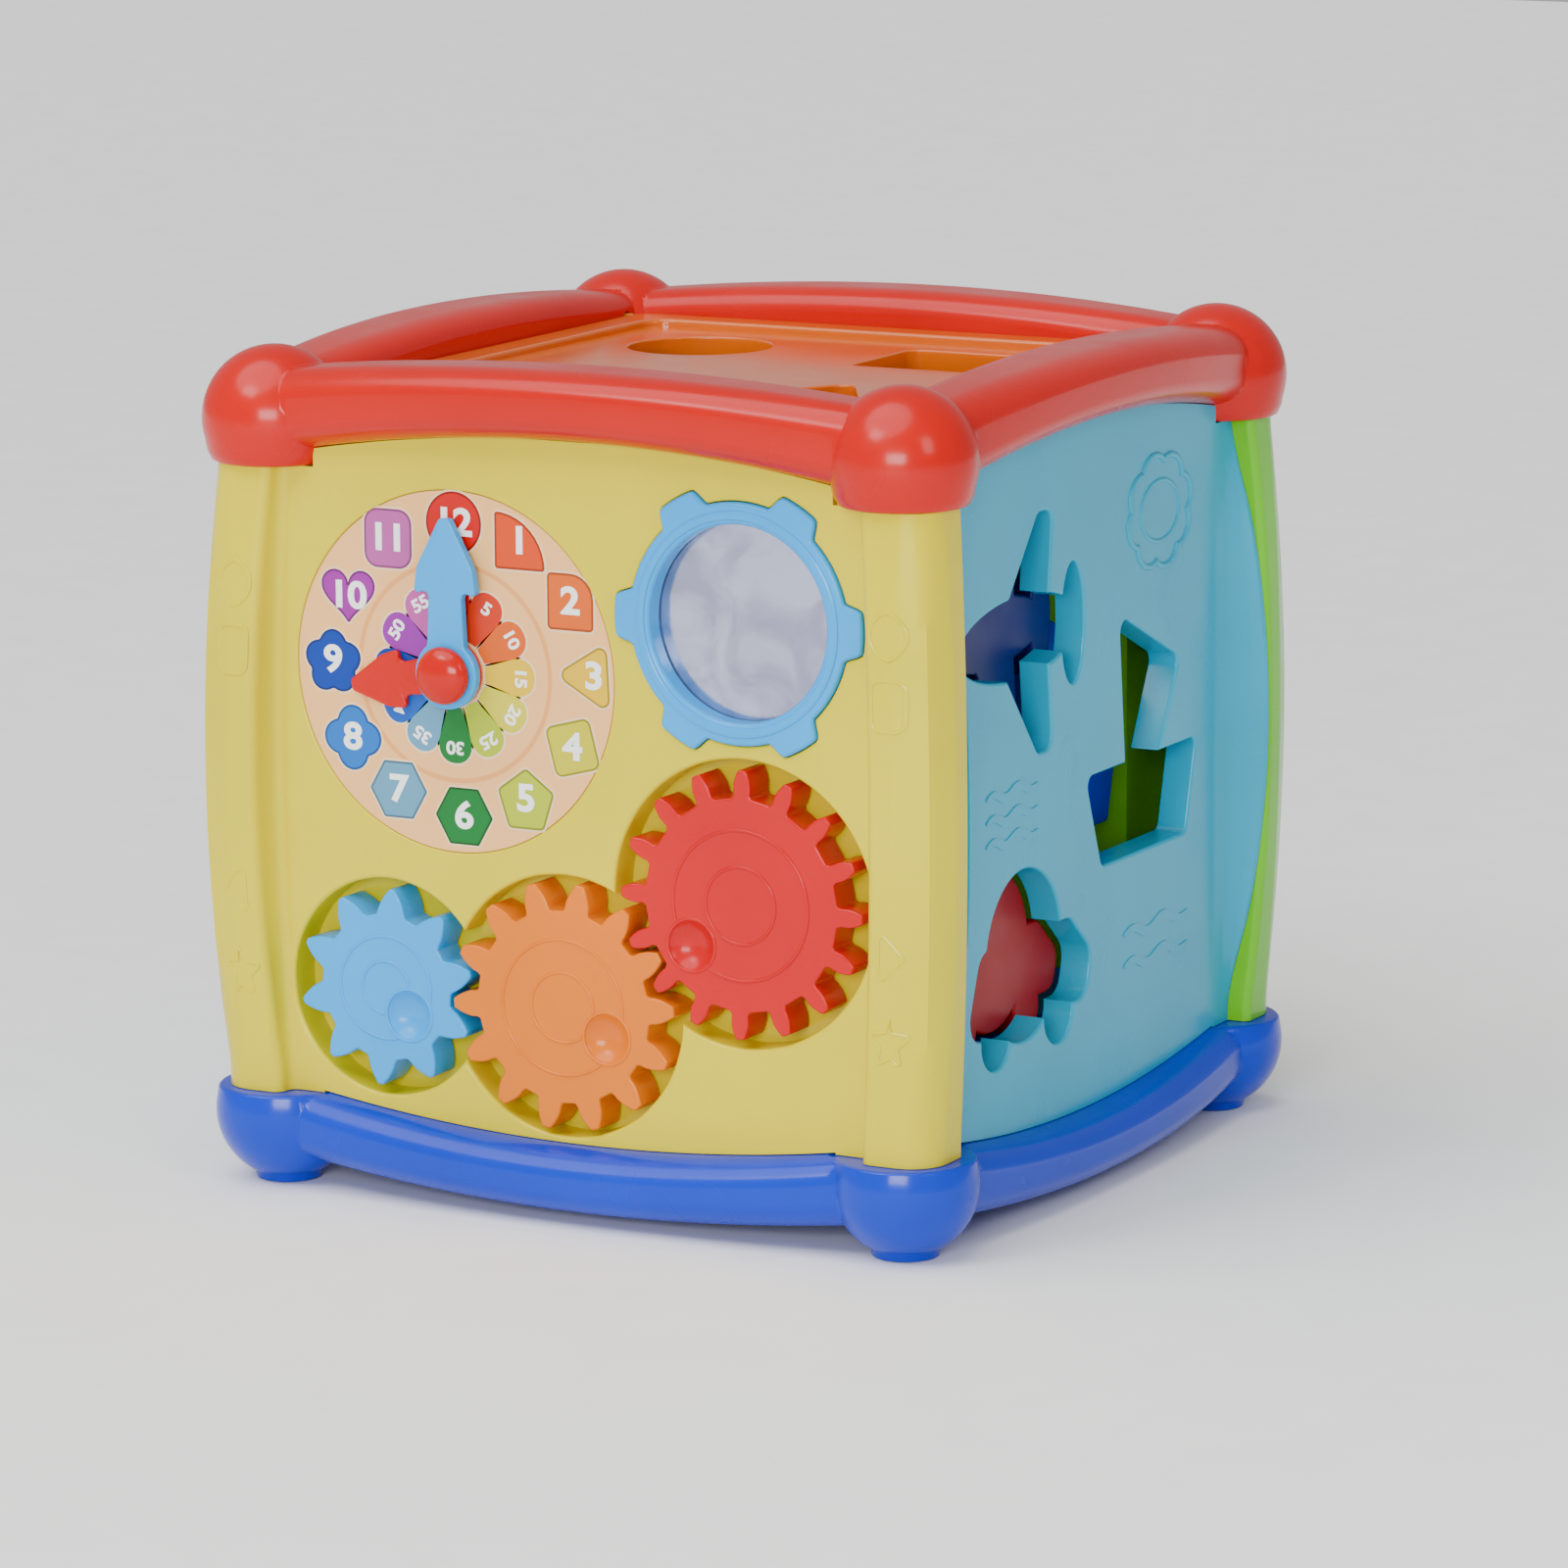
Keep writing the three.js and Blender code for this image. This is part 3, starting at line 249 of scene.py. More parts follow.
def add_object(name, data):
    result = bpy.data.objects.new(name, data)
    bpy.context.scene.collection.objects.link(result)
    return result


def solid(verts, faces):
    mesh = bpy.data.meshes.new("solid")
    mesh.from_pydata(verts, [], faces)
    bm = bmesh.new()
    bm.from_mesh(mesh)
    bmesh.ops.remove_doubles(bm, verts=bm.verts, dist=1e-4)
    bmesh.ops.recalc_face_normals(bm, faces=bm.faces)
    bm.to_mesh(mesh)
    bm.free()
    return add_object("solid", mesh)


def grid_faces(rings, around, closed=False):
    """Quads between rings of points; the first and last rings are capped unless the tube closes on itself."""
    faces = []
    for k in range(rings if closed else rings - 1):
        for i in range(around):
            a = k * around + i
            b = k * around + (i + 1) % around
            shift = ((k + 1) % rings - k) * around
            faces.append((a, b, b + shift, a + shift))
    if not closed:
        faces.append(tuple(range(around)))
        faces.append(tuple(range((rings - 1) * around, rings * around)))
    return faces


def loft(outline, profile, face="front"):
    verts = [place(face, x, out, y) for grow, out in profile for x, y in offset(outline, grow)]
    return solid(verts, grid_faces(len(profile), len(outline)))


def bead(outline, width, base, height, face="front", steps=6):
    """A raised line with a round back that follows a closed outline."""
    angles = [math.pi * i / steps for i in range(steps + 1)]
    profile = [(-width / 2, base - 0.4)]
    profile += [(-width / 2 * math.cos(a), base + height * math.sin(a)) for a in angles]
    profile.append((width / 2, base - 0.4))
    verts = [place(face, x, out, y) for grow, out in profile for x, y in offset(outline, grow)]
    return solid(verts, grid_faces(len(profile), len(outline), closed=True))


def turned(profile, x, height, face="front", sides=72):
    """A turned piece: the profile holds (radius, out) pairs and starts and ends on the axis."""
    rings = [(max(radius, 1e-5), out) for radius, out in profile]
    verts = []
    for radius, out in rings:
        verts += [place(face, px, out, py) for px, py in circle(x, height, radius, sides)]
    return solid(verts, grid_faces(len(rings), sides))


def rod(x, height, radius, inner, outer, face="front", edge=0.3, sides=64):
    return loft(circle(x, height, radius, sides), soft(inner, outer, edge, edge), face)


def block(low, high, edge=0.3):
    outline = rectangle(low[0], low[1], high[0], high[1], max(edge, 0.05), 3)
    return loft(outline, soft(low[2], high[2], edge, edge, 3), "up")


def moved(item, matrix):
    item.data.transform(matrix)
    return item


def turn_to(item, face):
    """Turns a solid that is made on the front face to another face."""
    angle = {"front": 0, "right": math.pi / 2, "back": math.pi, "left": -math.pi / 2}[face]
    return moved(item, Matrix.Rotation(angle, 4, "Z"))


def final_mesh(item):
    graph = bpy.context.evaluated_depsgraph_get()
    return bpy.data.meshes.new_from_object(item.evaluated_get(graph))


def apply_modifiers(item):
    mesh = final_mesh(item)
    item.modifiers.clear()
    item.data = mesh


def combine(operation, base, tools):
    for tool in tools:
        modifier = base.modifiers.new("combine", "BOOLEAN")
        modifier.operation = operation
        modifier.object = tool
        modifier.solver = "MANIFOLD"
    apply_modifiers(base)
    for tool in tools:
        bpy.data.objects.remove(tool)
    return base


def join(base, *others):
    return combine("UNION", base, others) if others else base


def cut(base, *tools):
    return combine("DIFFERENCE", base, tools)


def common(base, *tools):
    return combine("INTERSECT", base, tools)


def gather(items):
    """Puts separate solids that don't touch into one object."""
    bm = bmesh.new()
    for item in items:
        bm.from_mesh(item.data)
        bpy.data.objects.remove(item)
    mesh = bpy.data.meshes.new("solid")
    bm.to_mesh(mesh)
    bm.free()
    return add_object("solid", mesh)


def hole(outline, edge, surface=FIELD, face="front"):
    """A cutter through a face, which leaves a rounded rim."""
    return loft(outline, flared(INSIDE, surface, edge), face)


# ---------------- materials
def linear(*values):
    return (*values, 1.0)


def printed(red, green, blue):
    """Ink of a colour given as 0 to 255, made stronger for bright light."""
    channels = [v / 255 / 12.92 if v <= 10 else ((v / 255 + 0.055) / 1.055) ** 2.4
                for v in (red, green, blue)]
    pale = 0.7 * min(channels)
    return linear(*[(channel - pale) * 0.75 for channel in channels])


def shade(color, factor):
    return (*[min(1.0, channel * factor) for channel in color[:3]], 1.0)


def noise(tree, scale, detail=3.0, vector=None):
    node = tree.nodes.new("ShaderNodeTexNoise")
    node.inputs["Scale"].default_value = scale
    node.inputs["Detail"].default_value = detail
    if vector:
        tree.links.new(vector, node.inputs["Vector"])
    return node


def ramp(tree, source, first, second, start=0.3, end=0.7):
    node = tree.nodes.new("ShaderNodeValToRGB")
    node.color_ramp.elements[0].position = start
    node.color_ramp.elements[0].color = first
    node.color_ramp.elements[1].position = end
    node.color_ramp.elements[1].color = second
    tree.links.new(source, node.inputs["Fac"])
    return node


def grey(value):
    return (value, value, value, 1.0)


def moulded(name, color, rough=0.24, coat=0.15, grain=0.02, clear=0.0, metal=0.0, tone=0.06):
    """Moulded plastic: slow colour drift, faint handling smudges in the gloss and a fine moulded grain."""
    material = bpy.data.materials.new(name)
    material.use_nodes = True
    tree = material.node_tree
    shader = tree.nodes["Principled BSDF"]
    place_node = tree.nodes.new("ShaderNodeTexCoord")
    where = place_node.outputs["Object"]
    drift = noise(tree, 22, 4, where)
    tint = ramp(tree, drift.outputs["Fac"], shade(color, 1 - tone), shade(color, 1 + tone))
    tree.links.new(tint.outputs["Color"], shader.inputs["Base Color"])
    smudge = noise(tree, 60, 2, where)
    gloss = ramp(tree, smudge.outputs["Fac"], grey(rough * 0.82), grey(rough * 1.3), 0.35, 0.75)
    tree.links.new(gloss.outputs["Color"], shader.inputs["Roughness"])
    fine = noise(tree, 800, 1, where)
    wave = noise(tree, 160, 2, where)
    blend = tree.nodes.new("ShaderNodeMath")
    blend.operation = "MULTIPLY_ADD"
    blend.inputs[1].default_value = 2.5
    tree.links.new(wave.outputs["Fac"], blend.inputs[0])
    tree.links.new(fine.outputs["Fac"], blend.inputs[2])
    bump = tree.nodes.new("ShaderNodeBump")
    bump.inputs["Strength"].default_value = grain * 8
    bump.inputs["Distance"].default_value = 0.00004
    tree.links.new(blend.outputs["Value"], bump.inputs["Height"])
    tree.links.new(bump.outputs["Normal"], shader.inputs["Normal"])
    settings = {"Metallic": metal, "Specular IOR Level": 0.22, "Coat Weight": coat,
                "Coat Roughness": 0.12, "Transmission Weight": clear}
    for socket, value in settings.items():
        shader.inputs[socket].default_value = value
    return material


def mirrored():
    """Acrylic mirror with cloudy handling marks."""
    silver = linear(0.42, 0.44, 0.6)
    material = moulded("mirror_acrylic", silver, 0.16, coat=0.4, grain=0.05, metal=0.85, tone=0.03)
    tree = material.node_tree
    shader = tree.nodes["Principled BSDF"]
    coord = next(n for n in tree.nodes if n.bl_idname == "ShaderNodeTexCoord")
    cloud = noise(tree, 70, 8, coord.outputs["Object"])
    cloud.inputs["Distortion"].default_value = 1.4
    tint = ramp(tree, cloud.outputs["Fac"], linear(0.3, 0.31, 0.44), linear(0.46, 0.48, 0.64), 0.36, 0.62)
    tree.links.new(tint.outputs["Color"], shader.inputs["Base Color"])
    return material


COLORS = {
    "red": (0.52, 0.002, 0), "gear_red": (0.54, 0.001, 0.005), "yellow": (0.66, 0.55, 0),
    "blue": (0, 0.028, 0.5), "cyan": (0, 0.34, 0.52), "sky": (0.008, 0.33, 0.8),
    "green": (0.13, 0.52, 0), "orange": (0.72, 0.165, 0), "amber": (0.7, 0.42, 0),
    "purple": (0.2, 0.03, 0.45),
}
PLASTIC = {name: moulded(name + "_plastic", linear(*color)) for name, color in COLORS.items()}
PLASTIC |= {
    # Red plastic darkened as painted shade for the car block, which sits in the dark inside the cube.
    "shade_painted_red": moulded("shade_painted_red_plastic", linear(0.3, 0, 0.002), 0.4, 0),
    # The plane block's blue, darkened further as painted shade for the dark inside the cube.
    "navy": moulded("navy_plastic", linear(0.001, 0.004, 0.12), 0.4, 0),
    "white": moulded("white_plastic", linear(0.78, 0.78, 0.76), 0.36, 0.1),
    "black": moulded("black_plastic", linear(0.024, 0.025, 0.03), 0.5, 0),
    "lid": moulded("clear_orange_plastic", linear(1, 0.2, 0), 0.16, 0.3, clear=0.5),
    "lens": moulded("lens_plastic", linear(0.9, 0.02, 0.01), 0.1, 0.5, clear=0.6),
    "steel": moulded("plated_steel", linear(0.5, 0.52, 0.55), 0.3, 0, grain=0.03, metal=1, tone=0.1),
    "board": moulded("circuit_board_resist", linear(0.01, 0.16, 0.04), 0.4, 0.2),
    "jacket": moulded("battery_jacket", linear(0.02, 0.13, 0.04), 0.3, 0.2),
    "wire": moulded("wire_sleeve", linear(0.42, 0.01, 0.008), 0.45, 0),
    "mirror": mirrored(),
}
# Slot names for plastics whose slot differs from their own name; finish looks them up but does not keep the
# result.
SLOTS = {"shade_painted_red": "red_plastic", "gear_red": "red_plastic", "amber": "yellow_plastic",
         "lid": "clear_orange_plastic", "lens": "lamp_lens", "mirror": "mirror"}


# ---------------- finishing a piece
def body_of(node):
    bodies = frame["record"]["behaviour"]["bodies"]
    return next(body for body, nodes in bodies.items() if node in nodes)


def finish(item, plastic, node, name=None, replaces=True, slot=None, sharp=34):
    """Scales a solid to metres, smooths it, gives it its material and puts it on its body."""
    item.data.transform(Matrix.Scale(MM, 4))
    item.data.update()
    item.data.shade_smooth()
    item.data.set_sharp_from_angle(angle=math.radians(sharp))
    weight = item.modifiers.new("weight", "WEIGHTED_NORMAL")
    weight.keep_sharp = True
    apply_modifiers(item)
    item.name = item.data.name = name or node + "_moulding"
    item.data.materials.clear()
    item.data.materials.append(PLASTIC[plastic] if isinstance(plastic, str) else plastic)
    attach(item, body_of(node))
    if replaces:
        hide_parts(node)
    slot or SLOTS.get(plastic, f"{plastic}_plastic")


# ---------------- rails, caps and feet
def rise(along):
    return 1 - (along / CORNER) ** 2


def rail(section, face, steps=72):
    outline = rectangle(-RAIL_OUTER, section["low"], -RAIL_INNER, section["high"], 6.4, 8)
    verts = []
    for k in range(steps + 1):
        along = CORNER * (2 * k / steps - 1)
        for minus_out, height in outline:
            out = (-minus_out - RAIL_INNER) / (RAIL_OUTER - RAIL_INNER)
            up = (height - section["low"]) / (section["high"] - section["low"])
            lift = section["low_rise"] + (section["high_rise"] - section["low_rise"]) * up
            bulge = RAIL_BULGE * smooth(out) * rise(along)
            crown = 0.7 * smooth(out) * math.sin(math.pi * min(1, max(0, up)))
            verts.append(place(face, along, -minus_out + bulge + crown, height + lift * rise(along)))
    return solid(verts, grid_faces(steps + 1, len(outline)))


def arc(radius, centre, start, finish, steps):
    return [polar(0, centre, radius, start + (finish - start) * i / steps) for i in range(steps + 1)]


def frame_ring(section, cap_profile):
    rails = [rail(section, face) for face in FACES]
    caps = [turned(cap_profile, x, y, "up", 80) for x, y in CORNERS]
    return join(rails[0], *rails[1:], *caps)


def hinge_rods(radius, reach, apart, edge):
    """A short rod on the lid's axis at each side of the lid."""
    _, y, z = joint_at("lid_hinge")
    rods = []
    for side in (-1, 1):
        pin = rod(0, 0, radius, -reach, reach, "right", edge, 32)
        rods.append(moved(pin, Matrix.Translation((side * apart, y, z))))
    return rods


def top_frame():
    top_ball = HEIGHT - BALL
    cap = [(0, COLUMN_TOP), (12.8, COLUMN_TOP), (13.6, COLUMN_TOP + 0.4), (14.4, COLUMN_TOP + 2.2)]
    cap += arc(BALL, top_ball, -0.28, math.pi / 2, 22)
    ring = frame_ring(TOP_RAIL, cap)
    stops = [block((x - 6, -RAIL_INNER - 2, LID_TOP - 6.8), (x + 6, -62, LID_TOP - 4.3)) for x in (-40, 40)]
    holes = hinge_rods(2.4, 4, 67, 0)
    return cut(join(ring, *stops), *holes)


finish(top_frame(), "red", "top_frame", sharp=50)

DOOR_LOW, DOOR_HIGH = node_box("battery_door")


def base_tray():
    foot = [(0, 0), (6.2, 0), (7, 0.35)] + arc(BALL, BALL, -1.08, 0.1, 18)
    foot += [(14.9, COLUMN_FOOT - 0.6), (14.3, COLUMN_FOOT), (0, COLUMN_FOOT)]
    ring = frame_ring(FOOT_RAIL, foot)
    floor = block((-68, -68, 8), (68, 68, 10.4))
    shell = block((47.4, -60, 5.6), (66, 51, MID - 56.7), 0.8)
    hollow = block((49.4, -58, 9.6), (64, 49, MID - 58.7), 0)
    mouth = block((50, -56, 0), (63.4, 47, 12), 0)
    recess = block(
        (DOOR_LOW.x - SEAM, DOOR_LOW.y - SEAM, 0),
        (DOOR_HIGH.x + SEAM, DOOR_HIGH.y + SEAM, DOOR_HIGH.z + 0.3), 0,
    )
    bores = [rod(math.copysign(76, x), math.copysign(76, y), 4, -1, 14, "up", 0, 32) for x, y in CORNERS]
    seats = []
    for x, y in CORNERS:
        spans = [(-OUTSIDE, -RAIL_END) if value < 0 else (RAIL_END, OUTSIDE) for value in (x, y)]
        low = (spans[0][0], spans[1][0], COLUMN_FOOT)
        high = (spans[0][1], spans[1][1], COLUMN_FOOT + 9)
        seats.append(block(low, high, 0))
    return cut(join(ring, floor, shell), hollow, mouth, recess, *bores, *seats)


finish(base_tray(), "blue", "base_tray", sharp=50)


def battery_door():
    low, high = DOOR_LOW, DOOR_HIGH
    door = block(low, high, 0.5)
    middle = (low.x + high.x) / 2
    grips = []
    for i in range(5):
        start = low.y + 5 + 2.4 * i
        grips.append(block((middle - 4, start, low.z - 2), (middle + 4, start + 1.2, low.z + 0.5)))
    head = rod(middle, high.y - 2.6, 3, 0, 6.9, "up", 0, 40)
    shank = rod(middle, high.y - 2.6, 1.6, 0, 12, "up", 0, 24)
    return cut(door, *grips, head, shank)


finish(battery_door(), "blue", "battery_door")


# ---------------- shells of the front and back faces
def bow_at(height):
    return max(0.0, 1 - ((height - MID) / COLUMN_REACH) ** 2)


def bowed(x, y, z):
    """The columns bow outwards at mid height, and the flat field only follows at its edges."""
    def corner(t):
        return smooth((t - 60) / 10)

    def off_field(t):
        return 1 - smooth((t - 76) / (BACKING - 76)) + smooth((t - FIELD) / 3)

    reach = BOW * bow_at(z) * corner(abs(x)) * corner(abs(y))
    return (
        x + math.copysign(reach * off_field(abs(x)), x),
        y + math.copysign(reach * off_field(abs(y)), y),
        z,
    )


def bow(item):
    for vertex in item.data.vertices:
        vertex.co = bowed(*vertex.co)
    return item


def shell_section():
    half = [
        ((EDGE, -FIELD), 2.2), ((EDGE, -PROUD), 2.4), ((PROUD, -PROUD), COLUMN_ROUND), ((PROUD, -EDGE), 1.8),
        ((BACKING + 0.4, -EDGE), 0), ((BACKING + 0.4, -EDGE - WALL), 0),
        ((PROUD - WALL, -EDGE - WALL), 0), ((PROUD - WALL, -PROUD + WALL), COLUMN_ROUND - WALL),
        ((EDGE + WALL, -PROUD + WALL), 0.4), ((EDGE + WALL, -BACKING), 0.4),
    ]
    other = [((-x, y), radius) for (x, y), radius in reversed(half)]
    both = half + other
    return fillet([point for point, _ in both], [radius for _, radius in both], 8)


def face_outline(half_width):
    steps = 40
    tab = RAIL_END + 1.3
    across = [tab * (2 * k / steps - 1) for k in range(steps + 1)]
    bottom = [(x, FOOT_RAIL["high"] + FOOT_RAIL["high_rise"] * rise(x) + SEAM) for x in across]
    top = [(x, TOP_RAIL["low"] + TOP_RAIL["low_rise"] * rise(x) - SEAM) for x in reversed(across)]
    foot = COLUMN_FOOT + SEAM
    head = COLUMN_TOP - SEAM
    lower = [(-half_width, foot), (-tab, foot), *bottom, (tab, foot), (half_width, foot)]
    return [*lower, (half_width, head), (tab, head), *top, (-tab, head), (-half_width, head)]


def face_slab():
    return loft(face_outline(OUTSIDE), straight(INSIDE, OUTSIDE))


def column_shell(steps=50):
    section = shell_section()
    verts = []
    for k in range(steps + 1):
        z = MID + TALL * (k / steps - 0.5)
        verts += [bowed(x, y, z) for x, y in section]
    return common(solid(verts, grid_faces(steps + 1, len(section))), face_slab())


def star_points(x, y, radius, waist=0.5):
    turn = math.pi / 2
    return [polar(x, y, radius * (waist if i % 2 else 1), turn + math.pi * i / 5) for i in range(10)]


def ngon(x, y, radius, sides, turn=math.pi / 2):
    return round_outline(x, y, sides, lambda a: radius, turn)


def wrapped(item):
    """Lays flat marks over the round edge of the corner columns."""
    bend = PROUD - COLUMN_ROUND
    for vertex in item.data.vertices:
        x, y, z = vertex.co
        over = abs(x) - bend
        if over > 0:
            reach = -y - bend
            x = math.copysign(bend + reach * math.sin(over / COLUMN_ROUND), x)
            y = -bend - reach * math.cos(over / COLUMN_ROUND)
        vertex.co = (x, y, z)
    return item


MARKS_AT = 76.8  # middle of the marks on a column


def column_marks(face):
    """Raised outlines on the corner columns: a circle, a rounded square, a triangle and a star."""
    marks = []
    for side in (-1, 1):
        x = side * MARKS_AT
        outlines = [
            circle(x, MID + 41, 4.9, 48),
            rectangle(x - 4.9, MID + 21.6, x + 4.9, MID + 32, 2),
            fillet(ngon(x - side * 0.6, MID - 25, 6, 3, 0 if side > 0 else math.pi), 1, 4),
            fillet(star_points(x, MID - 43, 5.8), 0.5, 3),
        ]
        for outline in outlines:
            marks.append(bow(wrapped(bead(outline, 0.9, PROUD - 0.1, 0.4, "front", 4))))
    return turn_to(gather(marks), face)


finish(column_marks("front"), "yellow", "front_panel", "front_column_marks", replaces=False)
finish(column_marks("back"), "green", "back_panel", "back_column_marks", replaces=False)

GEARS = {
    "red": {"at": on_front("red_gear_turn"), "pocket": 30.4, "dimple": (-11.6, -9.4), "plastic": "gear_red",
            "teeth": 16, "shift": -0.35, "tip": 28.4, "root": 22.6},
    "orange": {"at": on_front("orange_gear_turn"), "pocket": 28, "dimple": (10.6, -5.6), "plastic": "orange",
               "teeth": 14, "shift": 0.4, "tip": 26.7, "root": 20.7},
    "blue": {"at": on_front("blue_gear_turn"), "pocket": 23.4, "dimple": (5.7, -5.5), "plastic": "sky",
             "teeth": 10, "shift": 0.95, "tip": 21.4, "root": 15.9},
}
POCKET_FLOOR = 72.9
GEAR_BACK = 73.5
CLOCK = on_front("minute_hand_turn")
DIAL_RADIUS = 38.4
MIRROR_LOW, MIRROR_HIGH = node_box("mirror_glass")
MIRROR = ((MIRROR_LOW.x + MIRROR_HIGH.x) / 2, (MIRROR_LOW.z + MIRROR_HIGH.z) / 2)


def bezel_outline():
    """A round outline with six broad teeth."""
    def radius_at(a):
        degrees_off_tooth = abs((a * 6 / (2 * math.pi) + 0.5) % 1 - 0.5) * 60
        return 25.3 + 3.6 * (1 - smooth((degrees_off_tooth - 8) / 6))

    return round_outline(*MIRROR, 288, radius_at)


def front_panel():
    cups = [rod(*g["at"], g["pocket"] + 2, POCKET_FLOOR - 2.2, FIELD - 0.2, "front", 0)
            for g in GEARS.values()]
    cup = common(join(*cups), face_slab())
    pockets = [loft(circle(*g["at"], g["pocket"], 120), flared(POCKET_FLOOR, FIELD, 0.9))
               for g in GEARS.values()]
    seat = loft(circle(*CLOCK, DIAL_RADIUS + 0.15, 128), flared(FIELD - 1.2, FIELD, 0.5))
    mirror_hole = hole(offset(bezel_outline(), 0.15), 0.4)
    return cut(join(column_shell(), cup), *pockets, seat, mirror_hole)


finish(front_panel(), "yellow", "front_panel")


# ---------------- gears
def involute(angle):
    return math.tan(angle) - angle


def gear_outline(teeth, shift, tip, root, phase):
    module = 3.3
    pressure = math.pi / 9
    backlash = 0.75
    pitch = module * teeth / 2
    base = pitch * math.cos(pressure)
    thickness = module * (math.pi / 2 + 2 * shift * math.tan(pressure)) - backlash

    def half(radius):
        at = math.acos(min(1, base / max(radius, base)))
        return max(thickness / (2 * pitch) + involute(pressure) - involute(at), 0.35 / radius)

    shares = [0, 0.12, 0.3, 0.5, 0.7, 0.88, 1]
    radii = [root + (tip - root) * share for share in shares]
    corners = []
    for i in range(teeth):
        middle = phase + 2 * math.pi * i / teeth
        flank = [(radius, half(radius)) for radius in radii]
        flank[0] = (flank[0][0], flank[0][1] + 0.02)
        for side, points in ((-1, flank), (1, flank[::-1])):
            corners += [polar(0, 0, radius, middle + side * angle) for radius, angle in points]
    last = len(shares) - 1
    radii = [0.4] + [0] * (last - 1) + [0.6, 0.6] + [0] * (last - 1) + [0.4]
    return fillet(corners, radii * teeth, 3)


def mesh_phase(bearing, teeth, other_teeth, other_phase):
    ahead = (bearing - other_phase) * other_teeth / teeth
    return bearing + math.pi + ahead + math.pi / teeth


def gear_phases():
    orange = GEARS["orange"]
    orange_phase = math.pi + 0.06
    phases = {"orange": orange_phase}
    for name in ("red", "blue"):
        gear = GEARS[name]
        bearing = math.atan2(gear["at"][1] - orange["at"][1], gear["at"][0] - orange["at"][0])
        phases[name] = mesh_phase(bearing, gear["teeth"], orange["teeth"], orange_phase)
    return phases


def gear(name, phase):
    spec = GEARS[name]
    x, z = spec["at"]
    front = -node_box("gear_" + name)[0].y
    centred = gear_outline(spec["teeth"], spec["shift"], spec["tip"], spec["root"], phase)
    outline = [(x + px, z + py) for px, py in centred]
    body = loft(outline, soft(GEAR_BACK, front, 0.5, 0.3))
    shaft = rod(x, z, 4.9, 68.2, GEAR_BACK + 1)
    dimple_at = (x + spec["dimple"][0], z + spec["dimple"][1])
    bowl = [polar(0, front + 3.7, 6.6, 0.12 * k - math.pi / 2) for k in range(1, 9)]
    dimple = turned([(0, front - 2.9), *bowl, (6.6, front + 4), (0, front + 4)], *dimple_at, "front", 64)
    body = cut(join(body, shaft), dimple)
    lip = bead(circle(*dimple_at, 5.6, 64), 0.7, front, 0.25)
    rings = [bead(circle(x, z, spec["root"] * share, 96), 0.7, front, 0.28) for share in (0.36, 0.7)]
    notch = rod(*dimple_at, 5.9, front - 3, front + 3, "front", 0)
    return join(body, lip, cut(gather(rings), notch))


for gear_name, gear_phase in gear_phases().items():
    finish(gear(gear_name, gear_phase), GEARS[gear_name]["plastic"], "gear_" + gear_name)


# ---------------- clock
def flat_color(name, color, rough=0.4):
    """Printed ink on the satin dial."""
    return moulded("ink_" + name, color, rough, coat=0.15, grain=0.01, tone=0.04)


DIAL_OUT = -node_box("clock_dial")[0].y
LAYER = 0.03


def on_dial(outline, layer):
    return loft(outline, straight(DIAL_OUT - 0.02, DIAL_OUT + LAYER * layer), "front")


def lobed(x, y, radius, lobes, depth, turn=0.0):
    def radius_at(a):
        return radius * (1 - depth + depth * abs(math.cos((a - turn) * lobes / 2)))

    return round_outline(x, y, 90, radius_at)


def heart(x, y, size):
    points = []
    for i in range(80):
        t = math.pi + 0.36 + (2 * math.pi - 0.72) * i / 79
        across = 16 * math.sin(t) ** 3
        up = 13 * math.cos(t) - 5 * math.cos(2 * t) - 2 * math.cos(3 * t) - math.cos(4 * t)
        points.append((x - across * size / 17, y + (up + 2) * size / 17))
    return points


def quarter_disc(x, y, size):
    bend = [(x - size / 2 + size * math.sin(a), y - size / 2 + size * math.cos(a))
            for a in (math.pi / 2 * k / 10 for k in range(10, -1, -1))]
    return fillet([(x - size / 2, y - size / 2), *bend], [0.6, 0.6, *[0] * 9, 0.6], 3)


def badges():
    """Each hour's printed shape: its outline around the dial's centre, and its colour."""
    return {
        12: (circle(0.3, 31.6, 6.7), (222, 22, 20)),
        1: (quarter_disc(16.2, 28.8, 12), (240, 82, 35)),
        2: (fillet([(22.7, 10.9), (33.7, 10.9), (33.7, 22.9), (22.7, 22.9)], [1, 1, 5.5, 1]), (245, 112, 48)),
        3: (fillet([(24.2, 1.4), (37.6, -6.2), (36.8, 9.2)], 1.8, 6), (250, 204, 20)),
        4: (turned_points(rectangle(-5.5, -5.5, 5.5, 5.5, 1.8), 0.26, 28.4, -13.8), (222, 216, 50)),
        5: (fillet(ngon(17, -26.2, 7.2, 5), 1.2, 5), (198, 214, 55)),
        6: (fillet(ngon(1.9, -30.6, 7, 6, 0), 0.5, 4), (34, 128, 60)),
        7: (fillet(ngon(-14.1, -26.2, 7, 6, 0), 0.5, 4), (176, 214, 238)),
        8: (lobed(-25.2, -15.9, 7, 4, 0.24), (30, 118, 215)),
        9: (lobed(-29.8, 0, 7, 5, 0.2, math.pi / 2), (24, 66, 172)),
        10: (heart(-25.8, 14.2, 7), (174, 74, 176)),
        11: (rectangle(-21.6, 21, -10, 33.6, 3.2), (230, 158, 210)),
    }


PETALS = {
    1: (228, 62, 36), 2: (242, 108, 42), 3: (252, 208, 30), 4: (238, 230, 90),
    5: (190, 212, 50), 6: (34, 128, 60), 7: (176, 214, 240), 8: (30, 96, 200),
    9: (24, 66, 172), 10: (166, 70, 180), 11: (232, 150, 205), 12: (222, 22, 20),
}


def ink(item, name, color):
    finish(item, flat_color(name, color), "clock_dial", name, replaces=False, slot="printed_dial")


def at_dial(outline):
    return [(x + CLOCK[0], y + CLOCK[1]) for x, y in outline]


